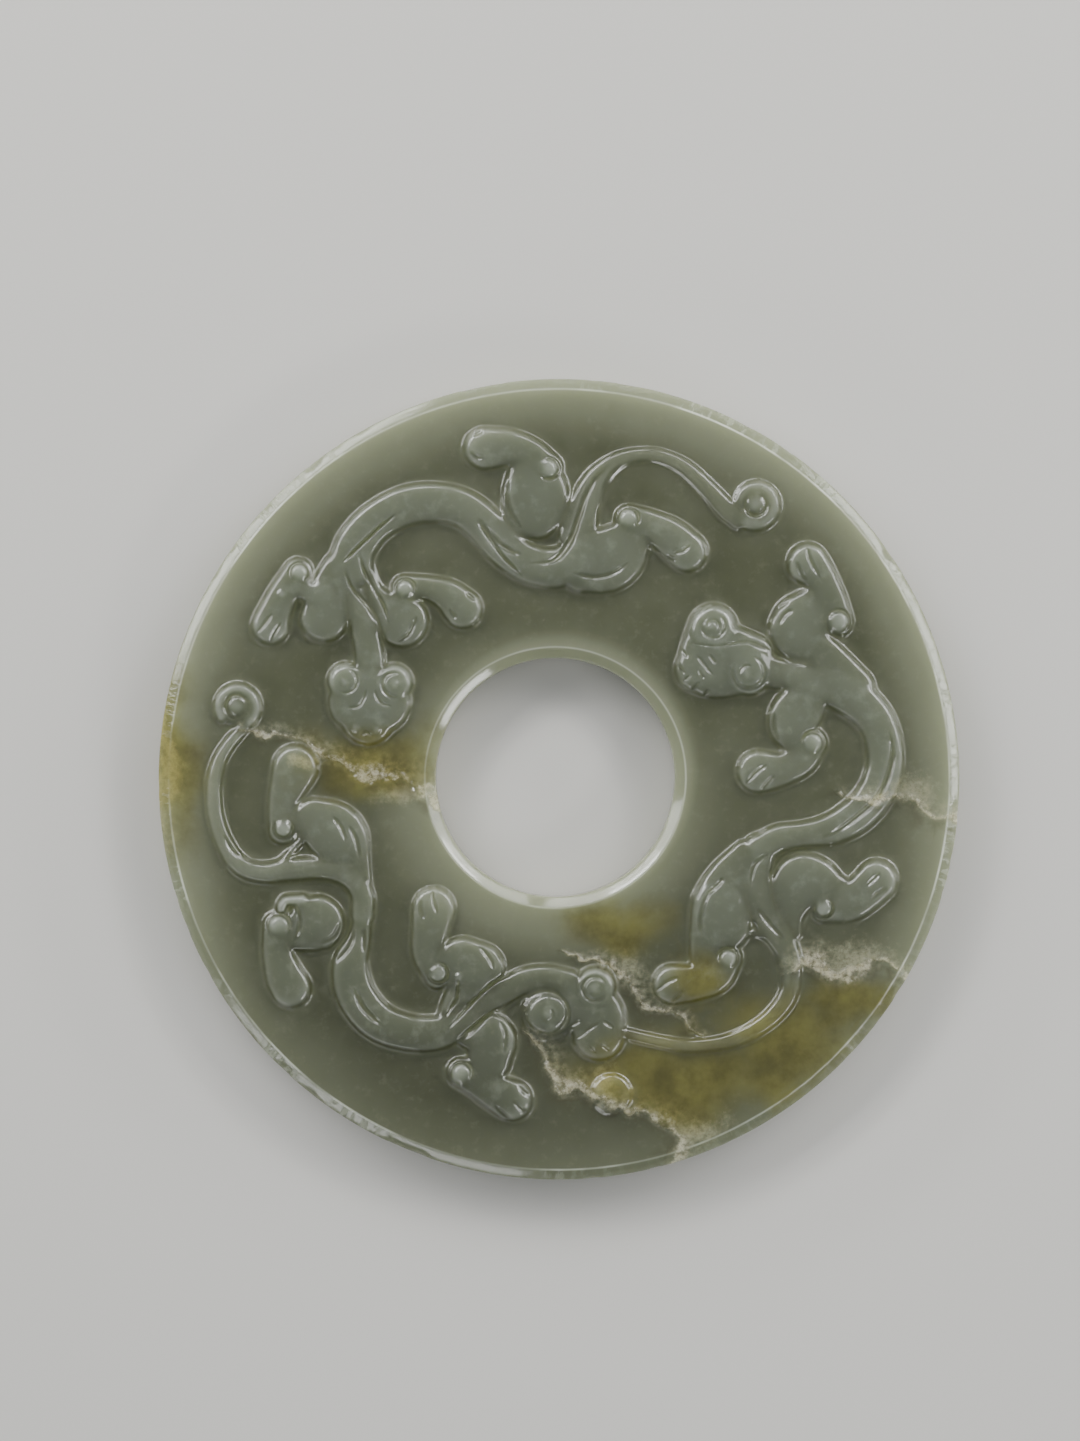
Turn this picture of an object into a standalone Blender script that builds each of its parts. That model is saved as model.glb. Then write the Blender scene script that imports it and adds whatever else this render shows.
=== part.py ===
"""Jade bi disc: a flat pierced disc of pale green nephrite that lies on its plain back, with three
chi dragons in low relief running round the face between the hole and the rim.

Metres, +Z up. The origin is the centre of the disc on the surface that it lies on. The drawing of
the dragons is kept in millimetres on a drawn field, and the field is then laid out between the
real hole and the real rim.
"""
import math

import bmesh
import bpy
from mathutils import Matrix, Vector

for leftover in list(bpy.data.objects):
    bpy.data.objects.remove(leftover, do_unlink=True)

# The disc
DISC_DIAMETER = 0.130
DISC_THICKNESS = 0.0072
RIM_BEVEL_WIDTH = 0.0018
RIM_BEVEL_DROP = 0.0012
BACK_BEVEL = 0.0008
DISC_STEPS = 120

# The hole was drilled a little off the centre of the disc
HOLE_DIAMETER = 0.0388
HOLE_SHIFT_X = -0.0006
HOLE_SHIFT_Y = 0.0003
LIP_BEVEL_WIDTH = 0.0017
LIP_BEVEL_DROP = 0.0011
HOLE_STEPS = 72
CUT_MARGIN = 0.002

# How high each kind of form stands above the face
TAIL_HEIGHT = 0.0016
BODY_HEIGHT = 0.0020
NECK_HEIGHT = 0.0021
THIGH_HEIGHT = 0.0021
FOOT_HEIGHT = 0.0020
HEEL_HEIGHT = 0.0025
FACE_HEIGHT = 0.0021
EAR_HEIGHT = 0.0026
BOSS_HEIGHT = 0.0012
# Each form is widest a little under the face, so that its foot has no undercut
SINK = 0.0004
ROOT_DEPTH = 0.0010

# How full a form's sides are: 1 is an ellipse, and less makes the sides steeper and the top flatter
FULLNESS = 0.7

# The forms are melted together and then faceted
FIGURE_VOXEL = 0.00033
FIGURE_TRIANGLES = 5800

# The drawing: the radii in millimetres between which its field lies
DRAWN_INNER = 21.1
DRAWN_OUTER = 63.2
SECTIONS_BETWEEN_POINTS = 3
END_SECTIONS = (88.0, 62.0, 34.0)
CURL_SECTIONS = 12
TUBE_RESOLUTION = 4
BALL_SEGMENTS = 24
BALL_RINGS = 14
WELD = 0.0000001

# Forms of each dragon on the drawing. A stroke is a chain of (x, y, half width), a ball is one
# (x, y, radius), and a curl is a centre, two radii, a start angle, a turn and two half widths.
DRAGONS = {
    "upper": {
        "tail": [[(3.0, 39.5, 3.2), (4.0, 44.0, 2.6), (5.8, 48.2, 2.1), (8.8, 51.2, 1.5),
                  (12.5, 52.5, 1.2), (16.5, 52.3, 1.2), (20.3, 50.5, 1.35), (24.0, 47.1, 1.5),
                  (27.0, 43.8, 1.7), (29.2, 41.9, 1.6)]],
        "curl": [(31.8, 44.6, 3.1, 2.6, -115.0, 285.0, 1.45, 0.9)],
        "body": [[(-33.8, 34.2, 3.5), (-32.9, 37.8, 3.4), (-29.8, 41.6, 3.2), (-25.0, 44.2, 3.25),
                  (-20.0, 44.8, 3.2), (-15.8, 44.0, 3.1), (-12.3, 41.4, 3.2), (-9.2, 38.0, 3.2),
                  (-5.5, 35.2, 3.2), (-1.0, 34.2, 3.3), (3.0, 35.5, 3.4)]],
        "neck": [[(-34.2, 35.2, 1.3), (-33.4, 31.0, 1.7), (-32.0, 26.0, 2.1), (-30.8, 21.0, 2.4),
                  (-30.6, 16.5, 2.5)]],
        "thigh": [[(4.0, 35.0, 4.8), (8.3, 35.8, 5.2), (11.5, 38.8, 3.4)],
                  [(-4.1, 44.0, 5.2), (-3.8, 46.6, 5.3), (-5.0, 50.0, 3.2), (-6.0, 52.0, 2.6)],
                  [(-36.0, 34.5, 2.3), (-37.4, 30.0, 3.4), (-38.0, 26.2, 3.95)],
                  [(-38.5, 29.8, 2.2), (-42.0, 30.8, 1.6)],
                  [(-31.3, 34.5, 1.2), (-29.9, 30.5, 1.5), (-27.7, 27.8, 2.6), (-25.4, 25.7, 4.3)]],
        "foot": [[(11.3, 42.1, 2.1), (14.5, 41.2, 2.5), (18.0, 39.2, 3.1), (20.7, 36.9, 3.3)],
                 [(-1.7, 50.6, 2.1), (-4.6, 52.9, 2.4), (-8.2, 53.7, 3.0), (-12.0, 53.6, 3.45)],
                 [(-42.5, 33.5, 2.3), (-44.6, 30.0, 2.5), (-46.2, 26.6, 2.8), (-46.7, 24.9, 3.1)],
                 [(-24.9, 30.9, 1.9), (-21.5, 31.0, 2.0), (-18.0, 29.8, 2.6), (-15.6, 27.6, 3.2)]],
        "heel": [(11.2, 42.2, 1.8), (-1.7, 50.3, 1.9), (-42.3, 33.3, 1.8), (-24.9, 30.8, 1.8),
                 (31.8, 44.5, 1.35)],
        "face": [[(-32.4, 13.0, 4.9), (-28.9, 13.0, 4.9)],
                 [(-30.8, 11.6, 5.2), (-31.0, 9.7, 4.0), (-31.0, 8.5, 2.8)]],
        "ear": [(-34.8, 15.6, 2.9), (-26.5, 15.4, 2.9)],
    },
    "right": {
        "tail": [[(32.5, -11.5, 2.9), (31.5, -16.0, 2.8), (33.3, -22.0, 2.4), (36.6, -27.0, 2.1),
                  (37.6, -31.0, 1.7), (37.2, -34.6, 1.6), (35.2, -37.7, 1.5), (32.0, -40.3, 1.35),
                  (28.0, -42.2, 1.25), (24.0, -43.0, 1.15), (20.0, -43.1, 1.1), (15.0, -42.2, 1.05),
                  (10.0, -41.0, 1.0)]],
        "body": [[(38.0, 16.6, 2.5), (43.0, 15.3, 3.1), (47.3, 13.4, 3.3), (50.7, 10.4, 3.1),
                  (52.4, 6.8, 3.0), (52.8, 3.0, 3.0), (52.0, -0.6, 3.0), (50.2, -3.7, 3.0),
                  (47.3, -6.4, 2.9), (43.5, -8.2, 2.5), (39.5, -8.9, 2.1), (35.5, -9.6, 2.3),
                  (32.5, -11.5, 2.6)]],
        "neck": [[(31.0, 18.3, 3.2), (35.0, 17.2, 2.6), (39.0, 16.6, 2.5)]],
        "thigh": [[(30.0, -11.8, 2.0), (27.3, -16.0, 3.3), (26.0, -20.5, 4.6), (26.5, -23.5, 4.6)],
                  [(25.7, -20.5, 4.4), (24.0, -26.0, 3.0), (23.3, -30.0, 2.2)],
                  [(38.6, -25.0, 0.9), (37.6, -21.5, 2.4), (38.8, -17.0, 4.5), (41.0, -16.6, 4.3),
                   (44.0, -17.5, 2.8), (46.5, -19.0, 2.6)],
                  [(48.0, 14.9, 3.2), (44.0, 18.9, 3.2), (41.0, 21.8, 3.3), (38.8, 24.4, 4.9),
                   (41.0, 28.0, 3.2)],
                  [(40.5, 13.5, 3.4), (38.0, 9.8, 4.2), (38.2, 6.5, 2.6)]],
        "foot": [[(27.4, -29.2, 2.0), (25.6, -31.9, 2.6), (22.0, -32.9, 3.0), (18.4, -33.2, 3.3)],
                 [(43.6, -20.9, 2.3), (46.8, -20.2, 3.0), (49.6, -18.1, 3.3), (51.4, -16.3, 3.4)],
                 [(45.2, 25.8, 2.1), (44.2, 29.3, 2.3), (42.0, 33.0, 2.8), (40.3, 34.9, 3.4)],
                 [(41.0, 5.8, 2.1), (39.3, 3.2, 2.6), (35.8, 1.6, 2.8), (32.3, 1.3, 3.5)]],
        "heel": [(27.3, -28.9, 1.8), (42.8, -20.8, 1.8), (45.2, 25.6, 2.0), (41.0, 6.0, 1.9)],
        "face": [[(22.6, 17.9, 3.9), (25.5, 18.2, 5.1), (29.0, 18.8, 4.8)],
                 [(22.2, 24.0, 2.3), (22.3, 21.2, 2.9), (27.5, 21.8, 3.2), (31.8, 20.7, 2.9)]],
        "ear": [(25.2, 24.9, 3.6), (30.4, 16.7, 3.0)],
    },
    "lower": {
        "tail": [[(-31.8, -22.0, 1.9), (-31.9, -18.5, 1.9), (-34.2, -15.6, 1.8), (-38.5, -14.4, 1.8),
                  (-43.5, -14.6, 1.9), (-48.0, -15.1, 1.7), (-51.5, -14.0, 1.6), (-54.0, -10.6, 1.45),
                  (-55.6, -6.0, 1.35), (-55.9, -1.0, 1.3), (-55.0, 3.0, 1.2), (-53.2, 6.0, 1.1),
                  (-50.8, 8.6, 1.0)]],
        "curl": [(-52.1, 11.7, 3.05, 2.9, -50.0, 262.0, 1.0, 0.9)],
        "body": [[(-31.7, -21.0, 1.6), (-32.3, -25.5, 1.8), (-33.8, -30.0, 2.9), (-33.0, -34.6, 3.2),
                  (-29.6, -39.0, 3.2), (-24.5, -41.0, 3.0), (-19.5, -41.0, 2.8), (-15.2, -39.0, 2.2),
                  (-11.0, -35.8, 2.0), (-6.5, -33.0, 2.2), (-2.5, -32.1, 2.1), (1.5, -33.0, 2.3)]],
        "thigh": [[(-31.8, -18.0, 1.6), (-33.0, -12.5, 2.4), (-36.0, -8.9, 4.8), (-39.5, -6.5, 3.6)],
                  [(-39.3, -23.3, 4.6), (-42.0, -24.5, 3.4)],
                  [(-45.6, -21.8, 1.2), (-44.6, -19.9, 1.1), (-41.5, -19.6, 1.0)],
                  [(-15.6, -29.8, 4.3), (-12.6, -30.4, 3.9)],
                  [(-14.0, -32.5, 3.4), (-16.8, -35.5, 2.0), (-18.5, -38.0, 1.2)],
                  [(-15.0, -42.0, 1.6), (-11.0, -41.6, 3.8), (-11.3, -45.5, 3.6)]],
        "foot": [[(-44.7, -8.2, 2.4), (-44.8, -4.0, 2.4), (-43.6, -0.5, 3.2), (-42.7, 1.9, 3.75)],
                 [(-45.5, -24.2, 2.4), (-45.6, -28.0, 2.5), (-44.5, -31.7, 3.1), (-43.4, -33.7, 3.3)],
                 [(-19.6, -31.6, 1.9), (-21.3, -28.3, 2.5), (-20.9, -24.5, 3.0), (-20.3, -20.9, 3.5)],
                 [(-15.6, -47.6, 2.2), (-12.8, -49.4, 2.5), (-10.0, -50.8, 3.1), (-7.7, -51.9, 3.4)]],
        "heel": [(-44.6, -7.9, 1.7), (-45.4, -23.8, 2.1), (-19.6, -31.2, 1.6), (-15.7, -47.3, 1.9),
                 (-52.2, 11.9, 1.35)],
        "face": [[(3.0, -36.5, 3.6), (6.0, -37.8, 4.4), (6.5, -41.2, 4.2)]],
        "ear": [(5.9, -33.3, 3.2), (-1.7, -37.9, 3.6)],
        "boss": [(8.5, -51.0, 3.4)],
    },
}
HEIGHTS = {
    "tail": TAIL_HEIGHT,
    "curl": TAIL_HEIGHT,
    "body": BODY_HEIGHT,
    "neck": NECK_HEIGHT,
    "thigh": THIGH_HEIGHT,
    "foot": FOOT_HEIGHT,
    "heel": HEEL_HEIGHT,
    "face": FACE_HEIGHT,
    "ear": EAR_HEIGHT,
    "boss": BOSS_HEIGHT,
}

disc_collection = bpy.data.collections.new("bi disc")
cutter_collection = bpy.data.collections.new("shapes that cut or join")
bpy.context.scene.collection.children.link(disc_collection)
bpy.context.scene.collection.children.link(cutter_collection)


def jade_material():
    """Pale grey-green nephrite with a soft polish."""
    material = bpy.data.materials.new("celadon jade")
    material.use_nodes = True
    shader = material.node_tree.nodes["Principled BSDF"]
    shader.inputs["Base Color"].default_value = (0.30, 0.33, 0.24, 1.0)
    shader.inputs["Roughness"].default_value = 0.28
    shader.inputs["Metallic"].default_value = 0.0
    return material


def turned(name, profile, steps):
    """A solid of revolution: the profile of (radius, height) points, turned round Z."""
    mesh = bpy.data.meshes.new(name)
    ring = bmesh.new()
    corners = [ring.verts.new((radius, 0.0, height)) for radius, height in profile]
    for upper, lower in zip(corners, corners[1:]):
        ring.edges.new((upper, lower))
    ring.to_mesh(mesh)
    ring.free()
    solid = bpy.data.objects.new(name, mesh)
    cutter_collection.objects.link(solid)
    screw = solid.modifiers.new("turn", "SCREW")
    screw.axis = "Z"
    screw.steps = steps
    screw.render_steps = steps
    screw.use_merge_vertices = True
    screw.merge_threshold = 0.00001
    return solid


def as_mesh(source, name, collection):
    """The evaluated shape of an object as a mesh object of its own, its loose caps welded."""
    depsgraph = bpy.context.evaluated_depsgraph_get()
    mesh = bpy.data.meshes.new_from_object(source.evaluated_get(depsgraph))
    solid = bpy.data.objects.new(name, mesh)
    solid.matrix_world = source.matrix_world
    collection.objects.link(solid)
    welded = bmesh.new()
    welded.from_mesh(mesh)
    bmesh.ops.remove_doubles(welded, verts=welded.verts, dist=WELD)
    bmesh.ops.recalc_face_normals(welded, faces=welded.faces)
    welded.to_mesh(mesh)
    welded.free()
    bpy.data.objects.remove(source, do_unlink=True)
    return solid


def merge_flat_faces(solid):
    """Joins the faces that lie in one plane, so a flat end is one face again."""
    flat = bmesh.new()
    flat.from_mesh(solid.data)
    bmesh.ops.dissolve_limit(
        flat,
        angle_limit=math.radians(0.05),
        use_dissolve_boundaries=False,
        verts=flat.verts,
        edges=flat.edges,
    )
    flat.to_mesh(solid.data)
    flat.free()


def hide_as_guide(solid):
    """Marks a shape that only cuts or joins."""
    solid.hide_render = True
    solid.display_type = "WIRE"


FIELD_INNER = HOLE_DIAMETER / 2 + LIP_BEVEL_WIDTH
FIELD_OUTER = DISC_DIAMETER / 2 - RIM_BEVEL_WIDTH
FIELD_SCALE = (FIELD_OUTER - FIELD_INNER) / (DRAWN_OUTER - DRAWN_INNER)


def placed(x, y):
    """A point of the drawing on the real face: its angle is kept, and its distance from the middle
    takes the same share of the field between the lip of the hole and the rim."""
    drawn = math.hypot(x, y)
    real = FIELD_INNER + (drawn - DRAWN_INNER) * FIELD_SCALE
    return x / drawn * real, y / drawn * real


def smooth_chain(points, between):
    """A chain of (x, y, half width) drawn smoothly through its points, by Catmull-Rom."""
    chain = [Vector(point) for point in points]
    ends = [2 * chain[0] - chain[1]] + chain + [2 * chain[-1] - chain[-2]]
    smooth = []
    for before, start, stop, after in zip(ends, ends[1:], ends[2:], ends[3:]):
        for step in range(between):
            t = step / between
            smooth.append(0.5 * (2 * start + (stop - before) * t
                                 + (2 * before - 5 * start + 4 * stop - after) * t ** 2
                                 + (3 * start - before - 3 * stop + after) * t ** 3))
    smooth.append(chain[-1])
    return smooth


def curl_chain(curl):
    """The chain of a scroll end: a centre circled while its radius and half width shrink."""
    x, y, start_radius, end_radius, start_angle, turn, start_width, end_width = curl
    chain = []
    for step in range(CURL_SECTIONS + 1):
        share = step / CURL_SECTIONS
        angle = math.radians(start_angle + turn * share)
        radius = start_radius + (end_radius - start_radius) * share
        width = start_width + (end_width - start_width) * share
        chain.append(Vector((x + radius * math.cos(angle), y + radius * math.sin(angle), width)))
    return chain


def rounded_ends(chain):
    """The chain with a quarter circle of sections at each end, so that the form ends round."""
    first_way = (chain[0] - chain[1]).to_2d().normalized()
    last_way = (chain[-1] - chain[-2]).to_2d().normalized()
    front = []
    back = []
    for degrees in END_SECTIONS:
        angle = math.radians(degrees)
        for end, way, row in ((chain[0], first_way, front), (chain[-1], last_way, back)):
            reach = end.z * math.sin(angle)
            row.append(Vector((end.x + way.x * reach, end.y + way.y * reach, end.z * math.cos(angle))))
    return front + chain + back[::-1]


def stand_up(solid, half_width, height):
    """Sets a form on the face: its height above its middle plane, as a share of half_width, is
    raised to the power FULLNESS, which steepens its sides, and then scaled to the given height."""
    rise = height + SINK
    for vertex in solid.data.vertices:
        share = vertex.co.z / half_width
        full = math.copysign(min(abs(share), 1.0) ** FULLNESS, share)
        vertex.co.z = DISC_THICKNESS - SINK + full * rise


def stroke(name, chain, height):
    """A long rounded form: a tube along the chain, flattened so that it stands up by height."""
    curve = bpy.data.curves.new(name, "CURVE")
    curve.dimensions = "3D"
    curve.twist_mode = "Z_UP"
    curve.bevel_depth = 0.001
    curve.bevel_resolution = TUBE_RESOLUTION
    curve.use_fill_caps = True
    spline = curve.splines.new("POLY")
    sections = rounded_ends(chain)
    spline.points.add(len(sections) - 1)
    for point, section in zip(spline.points, sections):
        x, y = placed(section.x, section.y)
        point.co = (x, y, 0.0, 1.0)
        point.radius = section.z * FIELD_SCALE * 1000.0
    tube = bpy.data.objects.new(name, curve)
    cutter_collection.objects.link(tube)
    bpy.context.view_layer.update()
    solid = as_mesh(tube, name, cutter_collection)
    half_width = max(section.z for section in sections) * FIELD_SCALE
    stand_up(solid, half_width, height)
    return solid


def ball(name, x, y, radius, height):
    """A round boss: a sphere half sunk in the face and flattened to its height."""
    mesh = bpy.data.meshes.new(name)
    round_form = bmesh.new()
    real_radius = radius * FIELD_SCALE
    bmesh.ops.create_uvsphere(
        round_form,
        u_segments=BALL_SEGMENTS,
        v_segments=BALL_RINGS,
        radius=real_radius,
    )
    middle = Matrix.Translation((*placed(x, y), 0.0))
    bmesh.ops.transform(round_form, matrix=middle, verts=round_form.verts)
    round_form.to_mesh(mesh)
    round_form.free()
    solid = bpy.data.objects.new(name, mesh)
    cutter_collection.objects.link(solid)
    stand_up(solid, real_radius, height)
    return solid


def melted(name, solids):
    """One closed form made of many that overlap: their roots are cut level in the disc, a fine
    voxel skin is drawn over them all, and the skin is thinned to large facets."""
    together = bmesh.new()
    for solid in solids:
        together.from_mesh(solid.data)
        bpy.data.objects.remove(solid, do_unlink=True)
    root = DISC_THICKNESS - ROOT_DEPTH
    for vertex in together.verts:
        vertex.co.z = max(vertex.co.z, root)
    mesh = bpy.data.meshes.new(name)
    together.to_mesh(mesh)
    together.free()
    figure = bpy.data.objects.new(name, mesh)
    cutter_collection.objects.link(figure)
    skin = figure.modifiers.new("skin", "REMESH")
    skin.mode = "VOXEL"
    skin.voxel_size = FIGURE_VOXEL
    bpy.context.view_layer.update()
    depsgraph = bpy.context.evaluated_depsgraph_get()
    fine = figure.evaluated_get(depsgraph).data
    fine.calc_loop_triangles()
    thin = figure.modifiers.new("thin", "DECIMATE")
    thin.ratio = min(1.0, FIGURE_TRIANGLES / len(fine.loop_triangles))
    bpy.context.view_layer.update()
    return as_mesh(figure, name, cutter_collection)


# The disc without its hole
radius = DISC_DIAMETER / 2
blank = turned("disc blank", [
    (0.0, DISC_THICKNESS),
    (radius - RIM_BEVEL_WIDTH, DISC_THICKNESS),
    (radius, DISC_THICKNESS - RIM_BEVEL_DROP),
    (radius, BACK_BEVEL),
    (radius - BACK_BEVEL, 0.0),
    (0.0, 0.0),
], DISC_STEPS)
bpy.context.view_layer.update()
bi_disc = as_mesh(blank, "bi_disc", disc_collection)
merge_flat_faces(bi_disc)
bi_disc.data.materials.append(jade_material())

# The hole with its bevelled lips
hole_radius = HOLE_DIAMETER / 2
lip_slope = LIP_BEVEL_WIDTH / LIP_BEVEL_DROP
hole = turned("hole", [
    (0.0, DISC_THICKNESS + CUT_MARGIN),
    (hole_radius + (LIP_BEVEL_DROP + CUT_MARGIN) * lip_slope, DISC_THICKNESS + CUT_MARGIN),
    (hole_radius, DISC_THICKNESS - LIP_BEVEL_DROP),
    (hole_radius, BACK_BEVEL),
    (hole_radius + BACK_BEVEL + CUT_MARGIN, -CUT_MARGIN),
    (0.0, -CUT_MARGIN),
], HOLE_STEPS)
hole.location = (HOLE_SHIFT_X, HOLE_SHIFT_Y, 0.0)
bpy.context.view_layer.update()
hole_cutter = as_mesh(hole, "hole", cutter_collection)
hide_as_guide(hole_cutter)

# The three dragons
solids = []
for dragon, forms in DRAGONS.items():
    for kind, shapes in forms.items():
        for number, shape in enumerate(shapes):
            name = f"{dragon} {kind} {number}"
            if kind in ("heel", "ear", "boss"):
                solids.append(ball(name, *shape, HEIGHTS[kind]))
            elif kind == "curl":
                solids.append(stroke(name, curl_chain(shape), HEIGHTS[kind]))
            else:
                chain = smooth_chain(shape, SECTIONS_BETWEEN_POINTS)
                solids.append(stroke(name, chain, HEIGHTS[kind]))
dragons = melted("dragons", solids)
hide_as_guide(dragons)

pierce = bi_disc.modifiers.new("pierce", "BOOLEAN")
pierce.operation = "DIFFERENCE"
pierce.solver = "EXACT"
pierce.object = hole_cutter
carve = bi_disc.modifiers.new("raise the dragons", "BOOLEAN")
carve.operation = "UNION"
carve.solver = "MANIFOLD"
carve.object = dragons
bi_disc.data.shade_smooth()
bi_disc.data.set_sharp_from_angle(angle=math.radians(35))
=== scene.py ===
# %% [markdown]
# The jade bi disc is one stone: a flat pierced disc with three chi dragons left standing on its
# face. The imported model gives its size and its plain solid. This script makes the surface that a
# lapidary left: soft full forms, fine cut lines, worn edges, and the colour inside the stone.
# Everything is worked out in millimetres and turned into metres at the very end.

import bpy
import numpy as np
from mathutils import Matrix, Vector


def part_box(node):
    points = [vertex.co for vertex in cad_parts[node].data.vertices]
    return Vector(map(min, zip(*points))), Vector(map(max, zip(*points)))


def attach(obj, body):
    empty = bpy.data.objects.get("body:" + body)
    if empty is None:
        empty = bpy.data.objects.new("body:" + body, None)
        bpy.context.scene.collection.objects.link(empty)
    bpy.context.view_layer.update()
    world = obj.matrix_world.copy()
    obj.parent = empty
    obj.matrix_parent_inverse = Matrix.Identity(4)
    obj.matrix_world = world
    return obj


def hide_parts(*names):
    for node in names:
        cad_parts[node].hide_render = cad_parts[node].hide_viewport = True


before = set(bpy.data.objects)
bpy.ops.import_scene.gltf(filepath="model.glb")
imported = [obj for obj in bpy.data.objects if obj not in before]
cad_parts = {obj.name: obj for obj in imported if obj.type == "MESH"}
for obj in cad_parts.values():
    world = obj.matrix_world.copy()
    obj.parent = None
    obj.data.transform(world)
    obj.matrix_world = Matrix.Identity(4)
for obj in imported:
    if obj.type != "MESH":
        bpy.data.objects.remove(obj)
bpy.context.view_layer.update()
low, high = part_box("bi_disc")
MM = 0.001
RIM_RADIUS = (high[0] - low[0]) / 2 / MM
TOP = high[2] / MM
print("disc radius", round(RIM_RADIUS, 2), "mm, top of the relief", round(TOP, 2), "mm")

# %% [markdown]
# The disc is a turned form. Its cross-section is one closed loop: across the face, over the rim,
# along the side, across the back and up the wall of the hole. The hole was drilled a little off
# the middle, so the inner rings of the surface slide over to it.

# %% The sizes of the disc
FACE = 7.2
RIM_BEVEL = (1.8, 1.2)
HOLE_RADIUS = 19.4
HOLE_MIDDLE = np.array([-0.6, 0.3])
LIP_BEVEL = (1.7, 1.1)
BACK_BEVEL = 0.8
LIP_RADIUS = HOLE_RADIUS + LIP_BEVEL[0]
FIELD_RADIUS = RIM_RADIUS - RIM_BEVEL[0]
EASE = 0.16
FLAT_MARGIN = 0.3
FIELD_START = LIP_RADIUS + FLAT_MARGIN
FIELD_END = FIELD_RADIUS - FLAT_MARGIN
ROUND_STEPS = 1440
RIM_STEPS = ROUND_STEPS // 3
FACE_STEPS = 262
print("field between", LIP_RADIUS, "and", round(FIELD_RADIUS, 2), "mm")

# %% [markdown]
# A carver draws the dragons before cutting. The drawing here is a list of strokes: each is a chain
# of points with a half width, and each kind of form stands up by its own height. The solid is
# built from strokes like these. Three dragons prowl the same way round, each with a curled or trailing tail,
# two pairs of legs that end in long paws, and round heels cut like scrolls.

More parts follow.
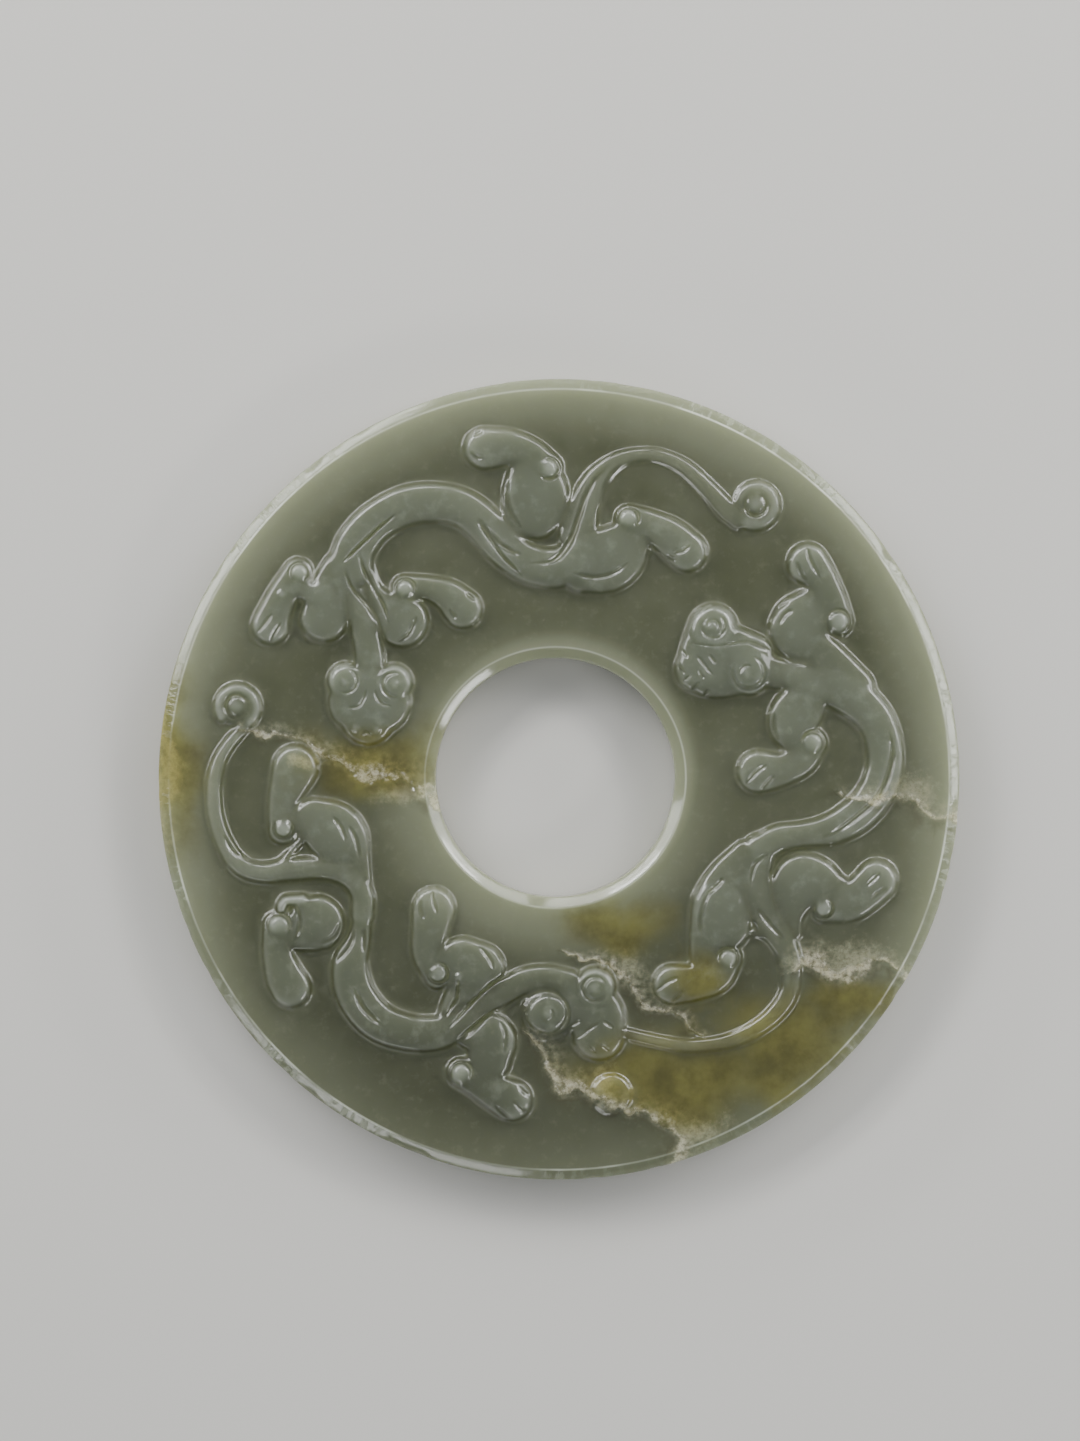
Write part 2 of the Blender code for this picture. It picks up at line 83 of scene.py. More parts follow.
# %% The drawing of the dragons
HEIGHTS = {"tail": 1.45, "curl": 1.35, "bead": 1.5, "body": 1.8, "neck": 1.6, "thigh": 1.85, "foot": 1.8,
           "heel": 2.0, "face": 1.9, "ear": 2.2, "boss": 1.1, "pad": 1.1, "thread": 0.9}
DRAGONS = {
    "upper": {
        "tail": [[(3.0, 39.5, 3.2), (4.0, 44.0, 2.6), (5.8, 48.2, 2.1), (8.8, 51.2, 1.5),
                  (12.5, 52.5, 1.2), (16.5, 52.3, 1.2), (20.3, 50.5, 1.35), (24.0, 47.1, 1.5),
                  (27.0, 43.8, 1.7), (29.2, 41.9, 1.6)]],
        "curl": [(31.8, 44.6, 3.1, 2.6, -115.0, 285.0, 1.45, 0.9)],
        "body": [[(-33.8, 34.2, 3.5), (-32.9, 37.8, 3.4), (-29.8, 41.6, 3.2), (-25.0, 44.2, 3.25),
                  (-20.0, 44.8, 3.2), (-15.8, 44.0, 3.1), (-12.3, 41.4, 3.2), (-9.2, 38.0, 3.2),
                  (-5.5, 35.2, 3.2), (-1.0, 34.2, 3.3), (3.0, 35.5, 3.4)]],
        "neck": [[(-34.2, 35.2, 1.3), (-33.4, 31.0, 1.7), (-32.0, 26.0, 2.1), (-30.8, 21.0, 2.4),
                  (-30.6, 16.5, 2.5)]],
        "thigh": [[(4.0, 35.0, 4.8), (8.3, 35.8, 5.2), (11.5, 38.8, 3.4)],
                  [(-4.1, 44.0, 5.2), (-3.8, 46.6, 5.3), (-5.0, 50.0, 3.2), (-6.0, 52.0, 2.6)],
                  [(-36.0, 34.5, 2.3), (-37.4, 30.0, 3.4), (-38.0, 26.2, 3.95)],
                  [(-38.5, 29.8, 2.2), (-42.0, 30.8, 1.6)],
                  [(-31.3, 34.5, 1.2), (-29.9, 30.5, 1.5), (-27.7, 27.8, 2.6), (-25.4, 25.7, 4.3)]],
        "foot": [[(11.3, 42.1, 2.35), (14.5, 41.2, 2.5), (18.0, 39.2, 3.1), (20.7, 36.9, 3.3)],
                 [(-1.7, 50.5, 2.35), (-4.6, 52.9, 2.4), (-8.2, 53.7, 3.0), (-12.0, 53.6, 3.45)],
                 [(-42.3, 33.4, 2.45), (-44.6, 30.0, 2.5), (-46.2, 26.6, 2.8), (-46.7, 24.9, 3.1)],
                 [(-24.9, 30.9, 2.3), (-21.5, 31.0, 2.0), (-18.0, 29.8, 2.6), (-15.6, 27.6, 3.2)]],
        "heel": [(11.2, 42.2, 1.7), (-1.7, 50.3, 1.7), (-42.0, 33.4, 1.6), (-24.9, 30.8, 1.6)],
        "bead": [(31.8, 44.5, 1.6)],
        "pad": [(31.8, 44.5, 3.4)],
        "face": [[(-32.2, 12.6, 5.2), (-29.2, 12.6, 5.2)],
                 [(-30.8, 12.4, 5.6), (-31.0, 10.2, 4.6), (-31.1, 8.6, 2.9)]],
        "ear": [(-34.5, 15.9, 3.0), (-26.7, 15.7, 3.0)],
    },
    "right": {
        "tail": [[(32.5, -11.5, 2.9), (31.5, -16.0, 2.8), (33.3, -22.0, 2.4), (36.6, -27.0, 2.1),
                  (37.6, -31.0, 1.7), (37.2, -34.6, 1.6), (35.2, -37.7, 1.5), (32.0, -40.3, 1.35),
                  (28.0, -42.2, 1.25), (24.0, -43.0, 1.15), (20.0, -43.1, 1.1), (15.0, -42.2, 1.05),
                  (10.0, -41.0, 1.0)]],
        "body": [[(38.0, 16.6, 2.5), (43.0, 15.3, 3.1), (47.3, 13.4, 3.3), (50.7, 10.4, 3.1),
                  (52.4, 6.8, 3.0), (52.8, 3.0, 3.0), (52.0, -0.6, 3.0), (50.2, -3.7, 3.0),
                  (47.3, -6.4, 2.9), (43.5, -8.2, 2.5), (39.5, -8.9, 2.1), (35.5, -9.6, 2.3),
                  (32.5, -11.5, 2.6)]],
        "neck": [[(31.0, 18.3, 3.2), (35.0, 17.2, 2.6), (39.0, 16.6, 2.5)]],
        "thigh": [[(30.0, -11.8, 2.0), (27.3, -16.0, 3.3), (26.0, -20.5, 4.6), (26.5, -23.5, 4.6)],
                  [(25.7, -20.5, 4.4), (24.0, -26.0, 3.0), (23.3, -30.0, 2.2)],
                  [(38.6, -25.0, 0.9), (37.6, -21.5, 2.4), (38.8, -17.0, 4.5), (41.0, -16.6, 4.3),
                   (44.0, -17.5, 2.8), (46.5, -19.0, 2.6)],
                  [(48.0, 14.9, 3.2), (44.0, 18.9, 3.2), (41.0, 21.8, 3.3), (38.8, 24.4, 4.9),
                   (41.0, 28.0, 3.2)],
                  [(40.5, 13.5, 3.4), (38.0, 9.8, 4.2), (38.2, 6.5, 2.6)]],
        "foot": [[(27.4, -29.0, 2.3), (25.6, -31.9, 2.6), (22.0, -32.9, 3.0), (18.4, -33.2, 3.3)],
                 [(43.0, -20.9, 2.35), (46.8, -20.2, 3.0), (49.6, -18.1, 3.3), (51.4, -16.3, 3.4)],
                 [(45.2, 25.6, 2.45), (44.2, 29.3, 2.3), (42.0, 33.0, 2.8), (40.3, 34.9, 3.4)],
                 [(41.0, 5.9, 2.4), (39.3, 3.2, 2.6), (35.8, 1.6, 2.8), (32.3, 1.3, 3.5)]],
        "heel": [(27.3, -28.9, 1.6), (42.8, -20.8, 1.5), (45.2, 25.6, 1.8), (41.0, 6.0, 1.8)],
        "face": [[(22.8, 17.9, 4.1), (25.5, 18.2, 5.1), (29.0, 18.6, 5.0)],
                 [(24.6, 23.6, 4.0), (23.6, 20.6, 4.0), (23.2, 18.2, 4.2)],
                 [(24.6, 22.6, 3.6), (28.0, 21.6, 3.4), (31.8, 20.4, 3.0)]],
        "ear": [(24.9, 24.4, 4.0), (30.6, 17.3, 3.7)],
        "thread": [[(34.2, -25.8, 0.55), (31.0, -24.9, 0.6), (28.3, -25.9, 0.65), (26.9, -27.3, 0.8)]],
    },
    "lower": {
        "tail": [[(-31.8, -22.0, 1.9), (-31.9, -18.5, 1.9), (-34.2, -15.6, 1.8), (-38.5, -14.4, 1.8),
                  (-43.5, -14.6, 1.9), (-48.0, -15.1, 1.7), (-51.5, -14.0, 1.6), (-54.0, -10.6, 1.45),
                  (-55.6, -6.0, 1.35), (-55.9, -1.0, 1.3), (-55.0, 3.0, 1.2), (-53.2, 6.0, 1.1),
                  (-50.8, 8.6, 1.0)]],
        "curl": [(-52.1, 11.7, 3.05, 2.9, -50.0, 262.0, 1.0, 0.9)],
        "body": [[(-31.7, -21.0, 1.6), (-32.3, -25.5, 1.8), (-33.8, -30.0, 2.9), (-33.0, -34.6, 3.2),
                  (-29.6, -39.0, 3.2), (-24.5, -41.0, 3.0), (-19.5, -41.0, 2.8), (-15.2, -39.0, 2.2),
                  (-11.0, -35.8, 2.0), (-6.5, -33.0, 2.2), (-2.5, -32.1, 2.1), (1.5, -33.0, 2.3)]],
        "thigh": [[(-31.8, -18.0, 1.6), (-33.0, -12.5, 2.4), (-36.0, -8.9, 4.8), (-39.5, -6.5, 3.6)],
                  [(-39.3, -23.3, 4.6), (-42.0, -24.5, 3.4)],
                  [(-44.9, -20.9, 0.9), (-44.2, -19.7, 0.9), (-41.5, -19.5, 1.0)],
                  [(-15.6, -29.8, 4.3), (-12.6, -30.4, 3.9)],
                  [(-14.0, -32.5, 3.4), (-16.8, -35.5, 2.0), (-18.5, -38.0, 1.2)],
                  [(-15.0, -42.0, 1.6), (-11.0, -41.6, 3.8), (-11.3, -45.5, 3.6)]],
        "foot": [[(-44.6, -8.1, 2.5), (-44.8, -4.0, 2.4), (-43.6, -0.5, 3.2), (-42.7, 1.9, 3.75)],
                 [(-45.4, -23.9, 2.6), (-45.6, -28.0, 2.5), (-44.5, -31.7, 3.1), (-43.4, -33.7, 3.3)],
                 [(-19.5, -31.6, 2.45), (-21.3, -28.3, 2.5), (-20.9, -24.5, 3.0), (-20.3, -20.9, 3.5)],
                 [(-15.7, -47.5, 2.5), (-12.8, -49.4, 2.5), (-10.0, -50.8, 3.1), (-7.7, -51.9, 3.4)]],
        "heel": [(-44.6, -7.9, 1.5), (-45.3, -23.6, 1.9), (-19.6, -31.3, 1.5), (-15.8, -47.5, 1.8)],
        "bead": [(-52.2, 11.9, 1.6)],
        "pad": [(-52.1, 11.8, 3.2)],
        "face": [[(3.0, -36.5, 4.0), (5.8, -37.8, 4.6), (6.4, -41.2, 4.3)]],
        "ear": [(5.9, -33.6, 3.3), (-2.0, -37.9, 3.4)],
        "boss": [(8.5, -51.0, 3.4), (-1.6, -37.9, 4.7)],
        "thread": [[(-46.8, -14.6, 0.5), (-44.7, -13.0, 0.6), (-43.0, -11.3, 0.6), (-41.6, -9.6, 0.6),
                    (-41.2, -7.2, 0.5)]],
    },
}
for name, forms in DRAGONS.items():
    print(name, "dragon:", sum(len(shapes) for shapes in forms.values()), "forms")

# %% [markdown]
# Cut lines give the forms their life: the spine that turns along the back, the folds of the
# haunches, the gaps between toes, and the rings round each heel. Each line is a chain of points, and
# its kind says how wide and deep it is cut; a ring is an arc round a middle.

# %% The cut lines
# Half width and depth of each kind of cut, in millimetres
CUTS = {"ring": (0.36, 0.50), "spine": (0.60, 0.55), "fold": (0.45, 0.38), "toe": (0.42, 0.36),
        "hair": (0.28, 0.34), "line": (0.33, 0.60)}
LINES = {
    "spine": [
        [(-13.2, 42.3), (-10.7, 39.3), (-8.5, 37.4), (-6.0, 36.2)],
        [(-4.8, 34.9), (-1.6, 35.2), (0.4, 36.5), (2.0, 39.1), (3.4, 43.2), (4.2, 45.6), (5.8, 48.6),
         (8.4, 51.3)],
        [(53.1, 8.6), (53.9, 5.1), (53.7, 2.5), (52.7, -0.8), (50.8, -3.7), (48.2, -6.0),
         (45.6, -7.9), (42.3, -9.6)],
        [(-33.2, -33.6), (-31.6, -37.0), (-28.4, -39.9)],
    ],
    "line": [
        [(-35.1, 35.0), (-33.4, 36.7), (-31.0, 39.0), (-28.6, 41.2), (-26.2, 42.9)],
        [(-32.5, 37.4), (-31.5, 33.8), (-29.9, 30.8), (-28.3, 28.0), (-27.5, 24.8)],
        [(-34.8, 34.3), (-33.6, 31.2), (-31.2, 28.4), (-29.4, 25.8), (-28.4, 22.8)],
        [(-13.4, 42.0), (-11.2, 39.0), (-8.6, 35.6), (-5.8, 32.9)],
        [(-18.8, -41.3), (-13.7, -35.6), (-10.2, -32.6), (-7.0, -31.1)],
        [(-16.9, -42.6), (-12.2, -38.6), (-8.5, -36.4)],
        [(-16.3, -31.8), (-16.6, -35.3), (-18.6, -38.6)],
    ],
    "fold": [
        [(-42.8, -19.9), (-42.0, -22.0), (-42.1, -24.2), (-43.0, -26.2)],
        [(6.8, 46.6), (8.4, 49.3), (10.2, 51.0)],
        [(2.0, 33.4), (5.6, 32.7), (8.8, 33.4), (11.4, 35.2)],
        [(-8.1, 49.4), (-8.5, 46.2), (-7.8, 43.2), (-6.0, 40.5)],
        [(-23.0, 26.6), (-24.2, 23.6), (-26.2, 22.2)],
        [(32.0, -20.8), (33.9, -23.2), (36.4, -25.9)],
        [(33.9, -11.8), (31.6, -13.9), (30.9, -17.3)],
        [(25.0, -17.0), (23.5, -19.6), (22.8, -22.8), (23.0, -25.4)],
        [(24.0, -18.6), (26.8, -15.8)],
        [(34.3, 25.9), (35.3, 27.6), (37.2, 28.8)],
        [(35.6, 25.0), (36.4, 26.6), (37.9, 27.5)],
        [(34.8, 11.0), (34.7, 8.4), (35.6, 6.2)],
        [(39.3, -26.2), (39.8, -23.8), (40.6, -21.6), (41.8, -20.4)],
        [(-36.6, -6.0), (-35.2, -7.8), (-34.3, -10.2)],
        [(-34.0, -7.4), (-32.8, -9.8), (-32.2, -13.0)],
        [(-33.1, -24.1), (-33.9, -27.0), (-36.2, -29.7)],
        [(-31.5, -23.7), (-31.6, -28.2)],
        [(-35.3, -22.9), (-36.4, -25.2), (-38.7, -26.6)],
        [(-11.6, -26.2), (-10.0, -27.6), (-9.0, -29.7)],
        [(-12.9, -27.0), (-11.3, -28.8), (-10.5, -30.7)],
        [(-15.9, -42.5), (-13.6, -40.2), (-11.7, -38.3)],
        [(-9.6, -39.0), (-8.6, -41.3), (-8.8, -44.4)],
        [(-54.3, -8.7), (-52.9, -11.4), (-51.2, -12.8)],
    ],
    "toe": [
        [(-49.0, 23.6), (-47.5, 25.3), (-46.4, 26.8)],
        [(-46.9, 22.1), (-46.0, 23.8), (-44.9, 25.4)],
        [(-16.7, 26.0), (-17.6, 27.6)],
        [(-13.6, 29.0), (-15.0, 30.2)],
        [(21.4, 38.0), (19.9, 36.9), (18.6, 36.6)],
        [(19.0, 35.4), (17.4, 36.3)],
        [(-14.4, 53.2), (-13.4, 52.2), (-12.1, 51.9)],
        [(-13.8, 55.6), (-12.4, 56.4)],
        [(38.3, 35.4), (39.0, 33.6), (40.1, 32.2)],
        [(40.2, 37.6), (40.6, 35.4), (42.2, 32.6)],
        [(30.0, -0.9), (32.0, 1.3), (33.7, 2.4)],
        [(32.5, -1.9), (34.9, 0.8)],
        [(15.4, -34.4), (17.5, -32.7), (19.4, -32.0)],
        [(17.9, -36.2), (20.3, -34.0)],
        [(49.5, -17.4), (50.7, -16.2), (52.0, -15.1)],
        [(50.4, -19.3), (51.8, -18.2), (53.2, -17.5)],
        [(-22.2, -19.4), (-22.4, -21.2), (-21.9, -22.6)],
        [(-20.4, -17.9), (-20.2, -20.0), (-19.6, -21.8)],
        [(-10.4, -52.6), (-9.0, -54.0), (-7.7, -55.1)],
        [(-7.5, -51.8), (-6.2, -53.2), (-5.1, -53.9)],
        [(-6.6, -49.4), (-5.6, -50.6), (-4.7, -51.1)],
    ],
    "hair": [
        [(20.4, 22.1), (25.6, 21.6), (29.9, 22.3), (32.4, 21.6), (35.0, 20.4)],
        [(22.2, 20.1), (23.5, 18.5), (24.9, 16.8)],
        [(24.2, 20.3), (25.3, 18.6)],
        [(22.5, 17.7), (23.4, 16.2)],
        [(19.7, 21.2), (20.8, 19.6)],
        [(19.3, 18.7), (20.3, 17.0)],
        [(20.1, 15.9), (21.4, 17.0)],
        [(21.4, 14.5), (22.7, 15.8)],
        [(23.4, 13.2), (24.1, 14.6)],
        [(2.6, -42.1), (4.6, -40.6), (6.5, -39.2)],
        [(1.6, -40.0), (3.6, -38.9)],
        [(4.9, -43.2), (6.0, -44.2)],
        [(6.7, -42.7), (8.2, -44.0)],
        [(7.0, -39.0), (8.9, -40.2)],
        [(-31.2, 14.6), (-31.5, 13.2), (-32.5, 11.8), (-34.4, 11.6)],
        [(-29.8, 14.6), (-29.5, 13.4), (-28.7, 12.4), (-27.0, 11.8)],
        [(-32.1, 7.0), (-31.1, 7.6), (-30.2, 7.0)],
    ],
}
# Rings are (x, y, radius, start angle, turn, kind of cut)
RINGS = [
    (11.2, 42.2, 1.7, 200, -260, "ring"), (-1.7, 50.3, 1.7, 110, -260, "ring"),
    (-42.0, 33.4, 1.6, 220, -280, "ring"), (-24.9, 30.8, 1.6, 210, -240, "ring"),
    (31.8, 44.5, 1.75, 120, 300, "ring"), (27.3, -28.9, 1.6, 200, -270, "ring"),
    (42.8, -20.8, 1.5, 80, -290, "ring"), (45.2, 25.6, 1.75, 170, -270, "ring"),
    (41.0, 6.0, 1.75, -80, 280, "ring"), (-44.6, -7.9, 1.55, 130, 290, "ring"),
    (-45.3, -23.6, 1.85, 220, -270, "ring"), (-19.6, -31.3, 1.6, 100, -270, "ring"),
    (-15.8, -47.5, 1.75, 310, 280, "ring"), (-52.2, 11.9, 1.75, 0, 330, "ring"),
    (-34.5, 15.9, 1.9, -120, 200, "hair"), (-26.6, 15.3, 1.9, 60, 230, "fold"),
    (24.9, 24.8, 1.9, -200, 260, "hair"), (24.9, 24.8, 0.9, -60, 260, "hair"),
    (30.6, 17.3, 2.6, -220, 300, "fold"), (30.4, 17.2, 1.2, 60, 130, "hair"),
    (5.8, -33.8, 1.9, 20, 320, "fold"), (-2.0, -37.9, 3.5, -200, 300, "fold"),
    (-2.0, -37.9, 1.0, -80, 140, "hair"),
]
# Small bumps are (x, y, radius, height)
BUMPS = [(-32.8, 8.2, 0.8, 0.32), (-29.5, 8.0, 0.8, 0.32), (-44.8, 30.0, 0.9, 0.3),
         (-16.2, -31.9, 0.8, 0.35), (-34.6, 15.7, 0.8, 0.25), (-26.6, 15.5, 0.8, 0.25),
         (24.4, 25.0, 1.1, 0.3), (30.4, 16.9, 1.0, 0.2), (5.8, -33.8, 1.0, 0.3), (-1.7, -37.8, 1.3, 0.3)]
print(sum(len(lines) for lines in LINES.values()), "cut lines and", len(RINGS), "rings")

# %% [markdown]
# Two small tools draw every stroke. One passes a smooth line through a few points, so that a long
# curve needs few of them. The other asks, for many places of the face at once, how deep inside a
# stroke each place lies. Both work on whole arrays.


# %% Lines and strokes
ARC_POINTS = 26


def smooth_line(points, between=5):
    """Catmull-Rom: between two points the line is a cubic whose slope at each point is half the
    way from the point before to the point after. Rows are points, columns x, y and anything else."""
    chain = np.array(points, float)
    if len(chain) < 2:
        return chain
    chain = np.vstack([2 * chain[0] - chain[1], chain, 2 * chain[-1] - chain[-2]])
    before, start, stop, after = (chain[i:len(chain) - 3 + i, None] for i in range(4))
    t = np.linspace(0, 1, between, endpoint=False)[None, :, None]
    body = 0.5 * (2 * start + (stop - before) * t + (2 * before - 5 * start + 4 * stop - after) * t**2
                  + (3 * start - before - 3 * stop + after) * t**3)
    return np.vstack([body.reshape(-1, chain.shape[1]), chain[-2]])


def arc_line(x, y, start_radius, end_radius, start, turn, *widths):
    """Points on an arc: the angle runs from start through turn, while the radius and any width
    run from their first value to their last."""
    share = np.linspace(0, 1, ARC_POINTS)
    angle = np.radians(start + turn * share)
    radius = start_radius + (end_radius - start_radius) * share
    columns = [x + radius * np.cos(angle), y + radius * np.sin(angle)]
    if widths:
        columns.append(widths[0] + (widths[1] - widths[0]) * share)
    return np.stack(columns, axis=1)


def depth_inside(path, x, y):
    """How deep each place lies in a stroke: the largest, over the stroke's pieces, of the square
    root of half width squared less distance squared, and none outside."""
    if len(path) == 1:
        return np.sqrt(np.clip(path[0, 2] ** 2 - (x - path[0, 0]) ** 2 - (y - path[0, 1]) ** 2, 0, None))
    start = path[:-1]
    step = np.diff(path, axis=0)
    to_x = x[:, None] - start[:, 0]
    to_y = y[:, None] - start[:, 1]
    along = (to_x * step[:, 0] + to_y * step[:, 1]) / (step[:, 0] ** 2 + step[:, 1] ** 2 + 1e-9)
    along = np.clip(along, 0, 1)
    gap = (to_x - along * step[:, 0]) ** 2 + (to_y - along * step[:, 1]) ** 2
    width = start[:, 2] + along * step[:, 2]
    return np.sqrt(np.clip(width ** 2 - gap, 0, None).max(axis=1))


def near(path, x, y, margin=0.1):
    """The places in the stroke's own box, as a mask."""
    reach = path[:, 2].max() + margin
    return ((x > path[:, 0].min() - reach) & (x < path[:, 0].max() + reach)
            & (y > path[:, 1].min() - reach) & (y < path[:, 1].max() + reach))


print("a stroke of 3 points is drawn with", len(smooth_line([(0, 0, 1), (1, 1, 1), (2, 0, 1)])), "points")

# %% [markdown]
# The stone is never quite even. Soft lattice noise gives the slow waves that hand polishing leaves
# on the ground, and the small bites along the worn rim. It is random values on a grid of the wanted
# size, blended smoothly between grid points.


# %% Uneven stone
LATTICE = 64


def soft_step(t):
    """3t^2 - 2t^3: 0 at 0, 1 at 1, and level at both."""
    return t * t * (3 - 2 * t)


def cloudy(u, v, size, seed):
    """Value noise from 0 to 1: random values on a lattice of the given size, blended between
    lattice points with the weight of soft_step."""
    table = np.random.default_rng(seed).random((LATTICE, LATTICE))
    u = u / size
    v = v / size
    left = np.floor(u).astype(int)
    down = np.floor(v).astype(int)
    a = soft_step(u - left)
    b = soft_step(v - down)

    def at(i, j):
        return table[(left + i) % LATTICE, (down + j) % LATTICE]

    return (at(0, 0) * (1 - a) + at(1, 0) * a) * (1 - b) + (at(0, 1) * (1 - a) + at(1, 1) * a) * b


def mottled(u, v, size, seed):
    """Three layers of cloudy, each half as large and half as strong as the one before."""
    return (4 * cloudy(u, v, size, seed) + 2 * cloudy(u, v, size / 2, seed + 1)
            + cloudy(u, v, size / 4, seed + 2)) / 7


print("mottled stone at one place:", round(float(mottled(np.array(1.0), np.array(2.0), 1.3, 41)), 3))

# %% [markdown]
# Natural fissures cross the stone. Where one reaches the surface the jade is cottony and pitted, so
# it could not take a polish. Each fissure is a wandering line; the same lines later guide the colour.

# %% The fissures
# Each is a list of (x, y, half width of the pitted band), from left to right
FISSURES = {
    "left": [(-51.5, 7.6, 0.5), (-46.0, 7.0, 0.6), (-42.5, 6.6, 0.6), (-39.0, 4.3, 0.8),
             (-35.5, 2.6, 1.1), (-32.0, 1.0, 1.4), (-28.0, 0.6, 1.4), (-24.5, -0.6, 1.3),
             (-20.0, -4.0, 0.9)],
    "right": [(45.0, -2.5, 0.3), (49.6, -2.6, 0.6), (51.8, -3.4, 0.9), (54.5, -3.4, 0.9),
              (57.2, -4.0, 0.9), (60.4, -6.6, 0.9), (64.9, -7.0, 0.8)],
    "right low": [(38.6, -31.0, 0.8), (41.5, -29.8, 1.2), (45.0, -32.4, 1.5), (48.0, -31.8, 1.5),
                  (50.6, -29.2, 1.0), (54.0, -31.4, 1.0), (57.0, -33.6, 0.7)],
    "centre": [(0.8, -27.6, 0.3), (4.2, -29.0, 0.5), (7.4, -29.8, 0.9), (10.4, -31.8, 1.2),
               (12.6, -34.4, 1.2), (14.8, -37.0, 0.8), (18.2, -37.6, 0.6), (20.4, -39.2, 0.7),
               (22.4, -41.6, 0.5)],
    "low": [(-5.4, -41.4, 0.6), (-3.2, -43.6, 1.0), (-1.4, -47.6, 1.0), (1.2, -50.6, 1.1),
            (4.4, -50.9, 1.2), (7.6, -52.4, 1.3), (10.6, -53.0, 1.0), (14.6, -54.6, 0.9),
            (18.4, -56.6, 1.2), (20.0, -59.0, 1.5), (18.5, -62.4, 1.2)],
}
print(len(FISSURES), "fissures, the longest of", max(len(line) for line in FISSURES.values()), "points")

# %% [markdown]
# Now the face itself is laid out: rings from the lip of the hole to the bevel of the rim, crossed by
# spokes. Every form is raised from the ground where it stands highest, so overlapping forms meet in
# a crease. Then the whole relief is rubbed a little, as a polisher would, the lines are cut, and it
# is rubbed once more.

# %% The relief
FULLNESS = 0.58
BLEND = 1.2
# Two forms melt together from this height on, and fully from the second on, in millimetres
MELTS_FROM, MELTS_FULLY = 0.7, 1.5
# Cuts and bumps start this far up a form, and are at their full depth at the second height
FOOT, CLEAR_OF_FOOT = 0.5, 1.3
spoke = np.linspace(0, 2 * np.pi, ROUND_STEPS, endpoint=False)
ring = np.linspace(FIELD_START, FIELD_END, FACE_STEPS)


def ring_middle(radius):
    """x and y of a ring's middle: it slides from the disc's middle to the hole's as the radius
    falls from the field's edge to the lip."""
    slide = np.clip((FIELD_RADIUS - radius) / (FIELD_RADIUS - LIP_RADIUS), 0, 1)
    return HOLE_MIDDLE[0] * slide, HOLE_MIDDLE[1] * slide


def on_disc(radius, angle):
    """x and y of a ring point: the ring's middle, and the radius turned by the angle from there."""
    middle_x, middle_y = ring_middle(radius)
    return middle_x + radius * np.cos(angle), middle_y + radius * np.sin(angle)


def rubbed(surface, times):
    """Each place becomes the mean of itself and its four neighbours, the given number of times."""
    for _ in range(times):
        padded = np.pad(surface, ((0, 0), (1, 1)), mode="edge")
        surface = (surface * 2 + padded[:, :-2] + padded[:, 2:]
                   + np.roll(surface, 1, 0) + np.roll(surface, -1, 0)) / 6
    return surface


def raise_form(ground, x, y, path, rise):
    """The form stands at rise times (depth inside / widest half width) to the power FULLNESS. Where
    it meets a form of nearly the same height, within BLEND, the two melt together a little."""
    here = near(path, x, y)
    share = depth_inside(path, x[here], y[here]) / path[:, 2].max()
    form = rise * share ** FULLNESS
    other = ground[here]
    alike = np.clip(1 - np.abs(form - other) / BLEND, 0, 1)
    alike *= np.clip((np.minimum(form, other) - MELTS_FROM) / (MELTS_FULLY - MELTS_FROM), 0, 1)
    ground[here] = np.maximum(form, other) + BLEND / 4 * alike ** 2


def off_foot(body):
    """0 at the foot of a form and 1 clear of it, by how high the relief stands there."""
    return np.clip((body - FOOT) / (CLEAR_OF_FOOT - FOOT), 0, 1)


def cut_line(ground, body, x, y, points, kind):
    """A cut is a round-bottomed groove that narrows to its ends by a fourth power, and runs out at
    the foot of a form. body is the relief before any cut."""
    half_width, depth = CUTS[kind]
    line = smooth_line(points)
    run = np.linspace(0, 1, len(line))
    width = half_width * (1 - np.abs(2 * run - 1) ** 4 * 0.8)
    path = np.column_stack([line[:, :2], width])
    here = near(path, x, y)
    share = depth_inside(path, x[here], y[here]) / half_width
    ground[here] -= depth * share ** 1.5 * off_foot(body[here])


angle_grid, ring_grid = np.meshgrid(spoke, ring, indexing="ij")
face_x, face_y = on_disc(ring_grid, angle_grid)
flat_x = face_x.ravel()
flat_y = face_y.ravel()
relief = np.zeros(flat_x.size)
for name, forms in DRAGONS.items():
    for kind, shapes in forms.items():
        for shape in shapes:
            if kind == "curl":
                path = arc_line(*shape)
            elif kind in ("heel", "ear", "boss", "pad", "bead"):
                path = np.array([shape], float)
            else:
                path = smooth_line(shape)
            raise_form(relief, flat_x, flat_y, path, HEIGHTS[kind])
stands = relief.reshape(face_x.shape)
print("relief covers", round(100 * float((relief > 0.1).mean())), "% of the rings, up to",
      round(float(relief.max()), 2), "mm")

# %% Cutting and rubbing
FIRST_RUBS = 8
WAVE_SIZE, WAVE_HEIGHT = 11.0, 0.12
uncut = rubbed(stands, FIRST_RUBS).ravel()
stands = uncut.copy()
for kind, lines in LINES.items():
    for points in lines:
        cut_line(stands, uncut, flat_x, flat_y, points, kind)
for x, y, radius, start, turn, kind in RINGS:
    cut_line(stands, uncut, flat_x, flat_y, arc_line(x, y, radius, radius, start, turn), kind)
for x, y, radius, height in BUMPS:
    dome = np.clip(1 - ((flat_x - x) ** 2 + (flat_y - y) ** 2) / radius ** 2, 0, 1)
    stands += height * dome * off_foot(uncut)
stands = rubbed(stands.reshape(face_x.shape), 1).ravel()
from_edge = np.minimum(ring_grid - FIELD_START, FIELD_END - ring_grid).ravel()
waves = WAVE_HEIGHT * (mottled(flat_x, flat_y, WAVE_SIZE, 3) - 0.8) * np.clip(from_edge / 1.5, 0, 1)
stands += waves
print("deepest cut below the ground", round(float(stands.min()), 2), "mm")

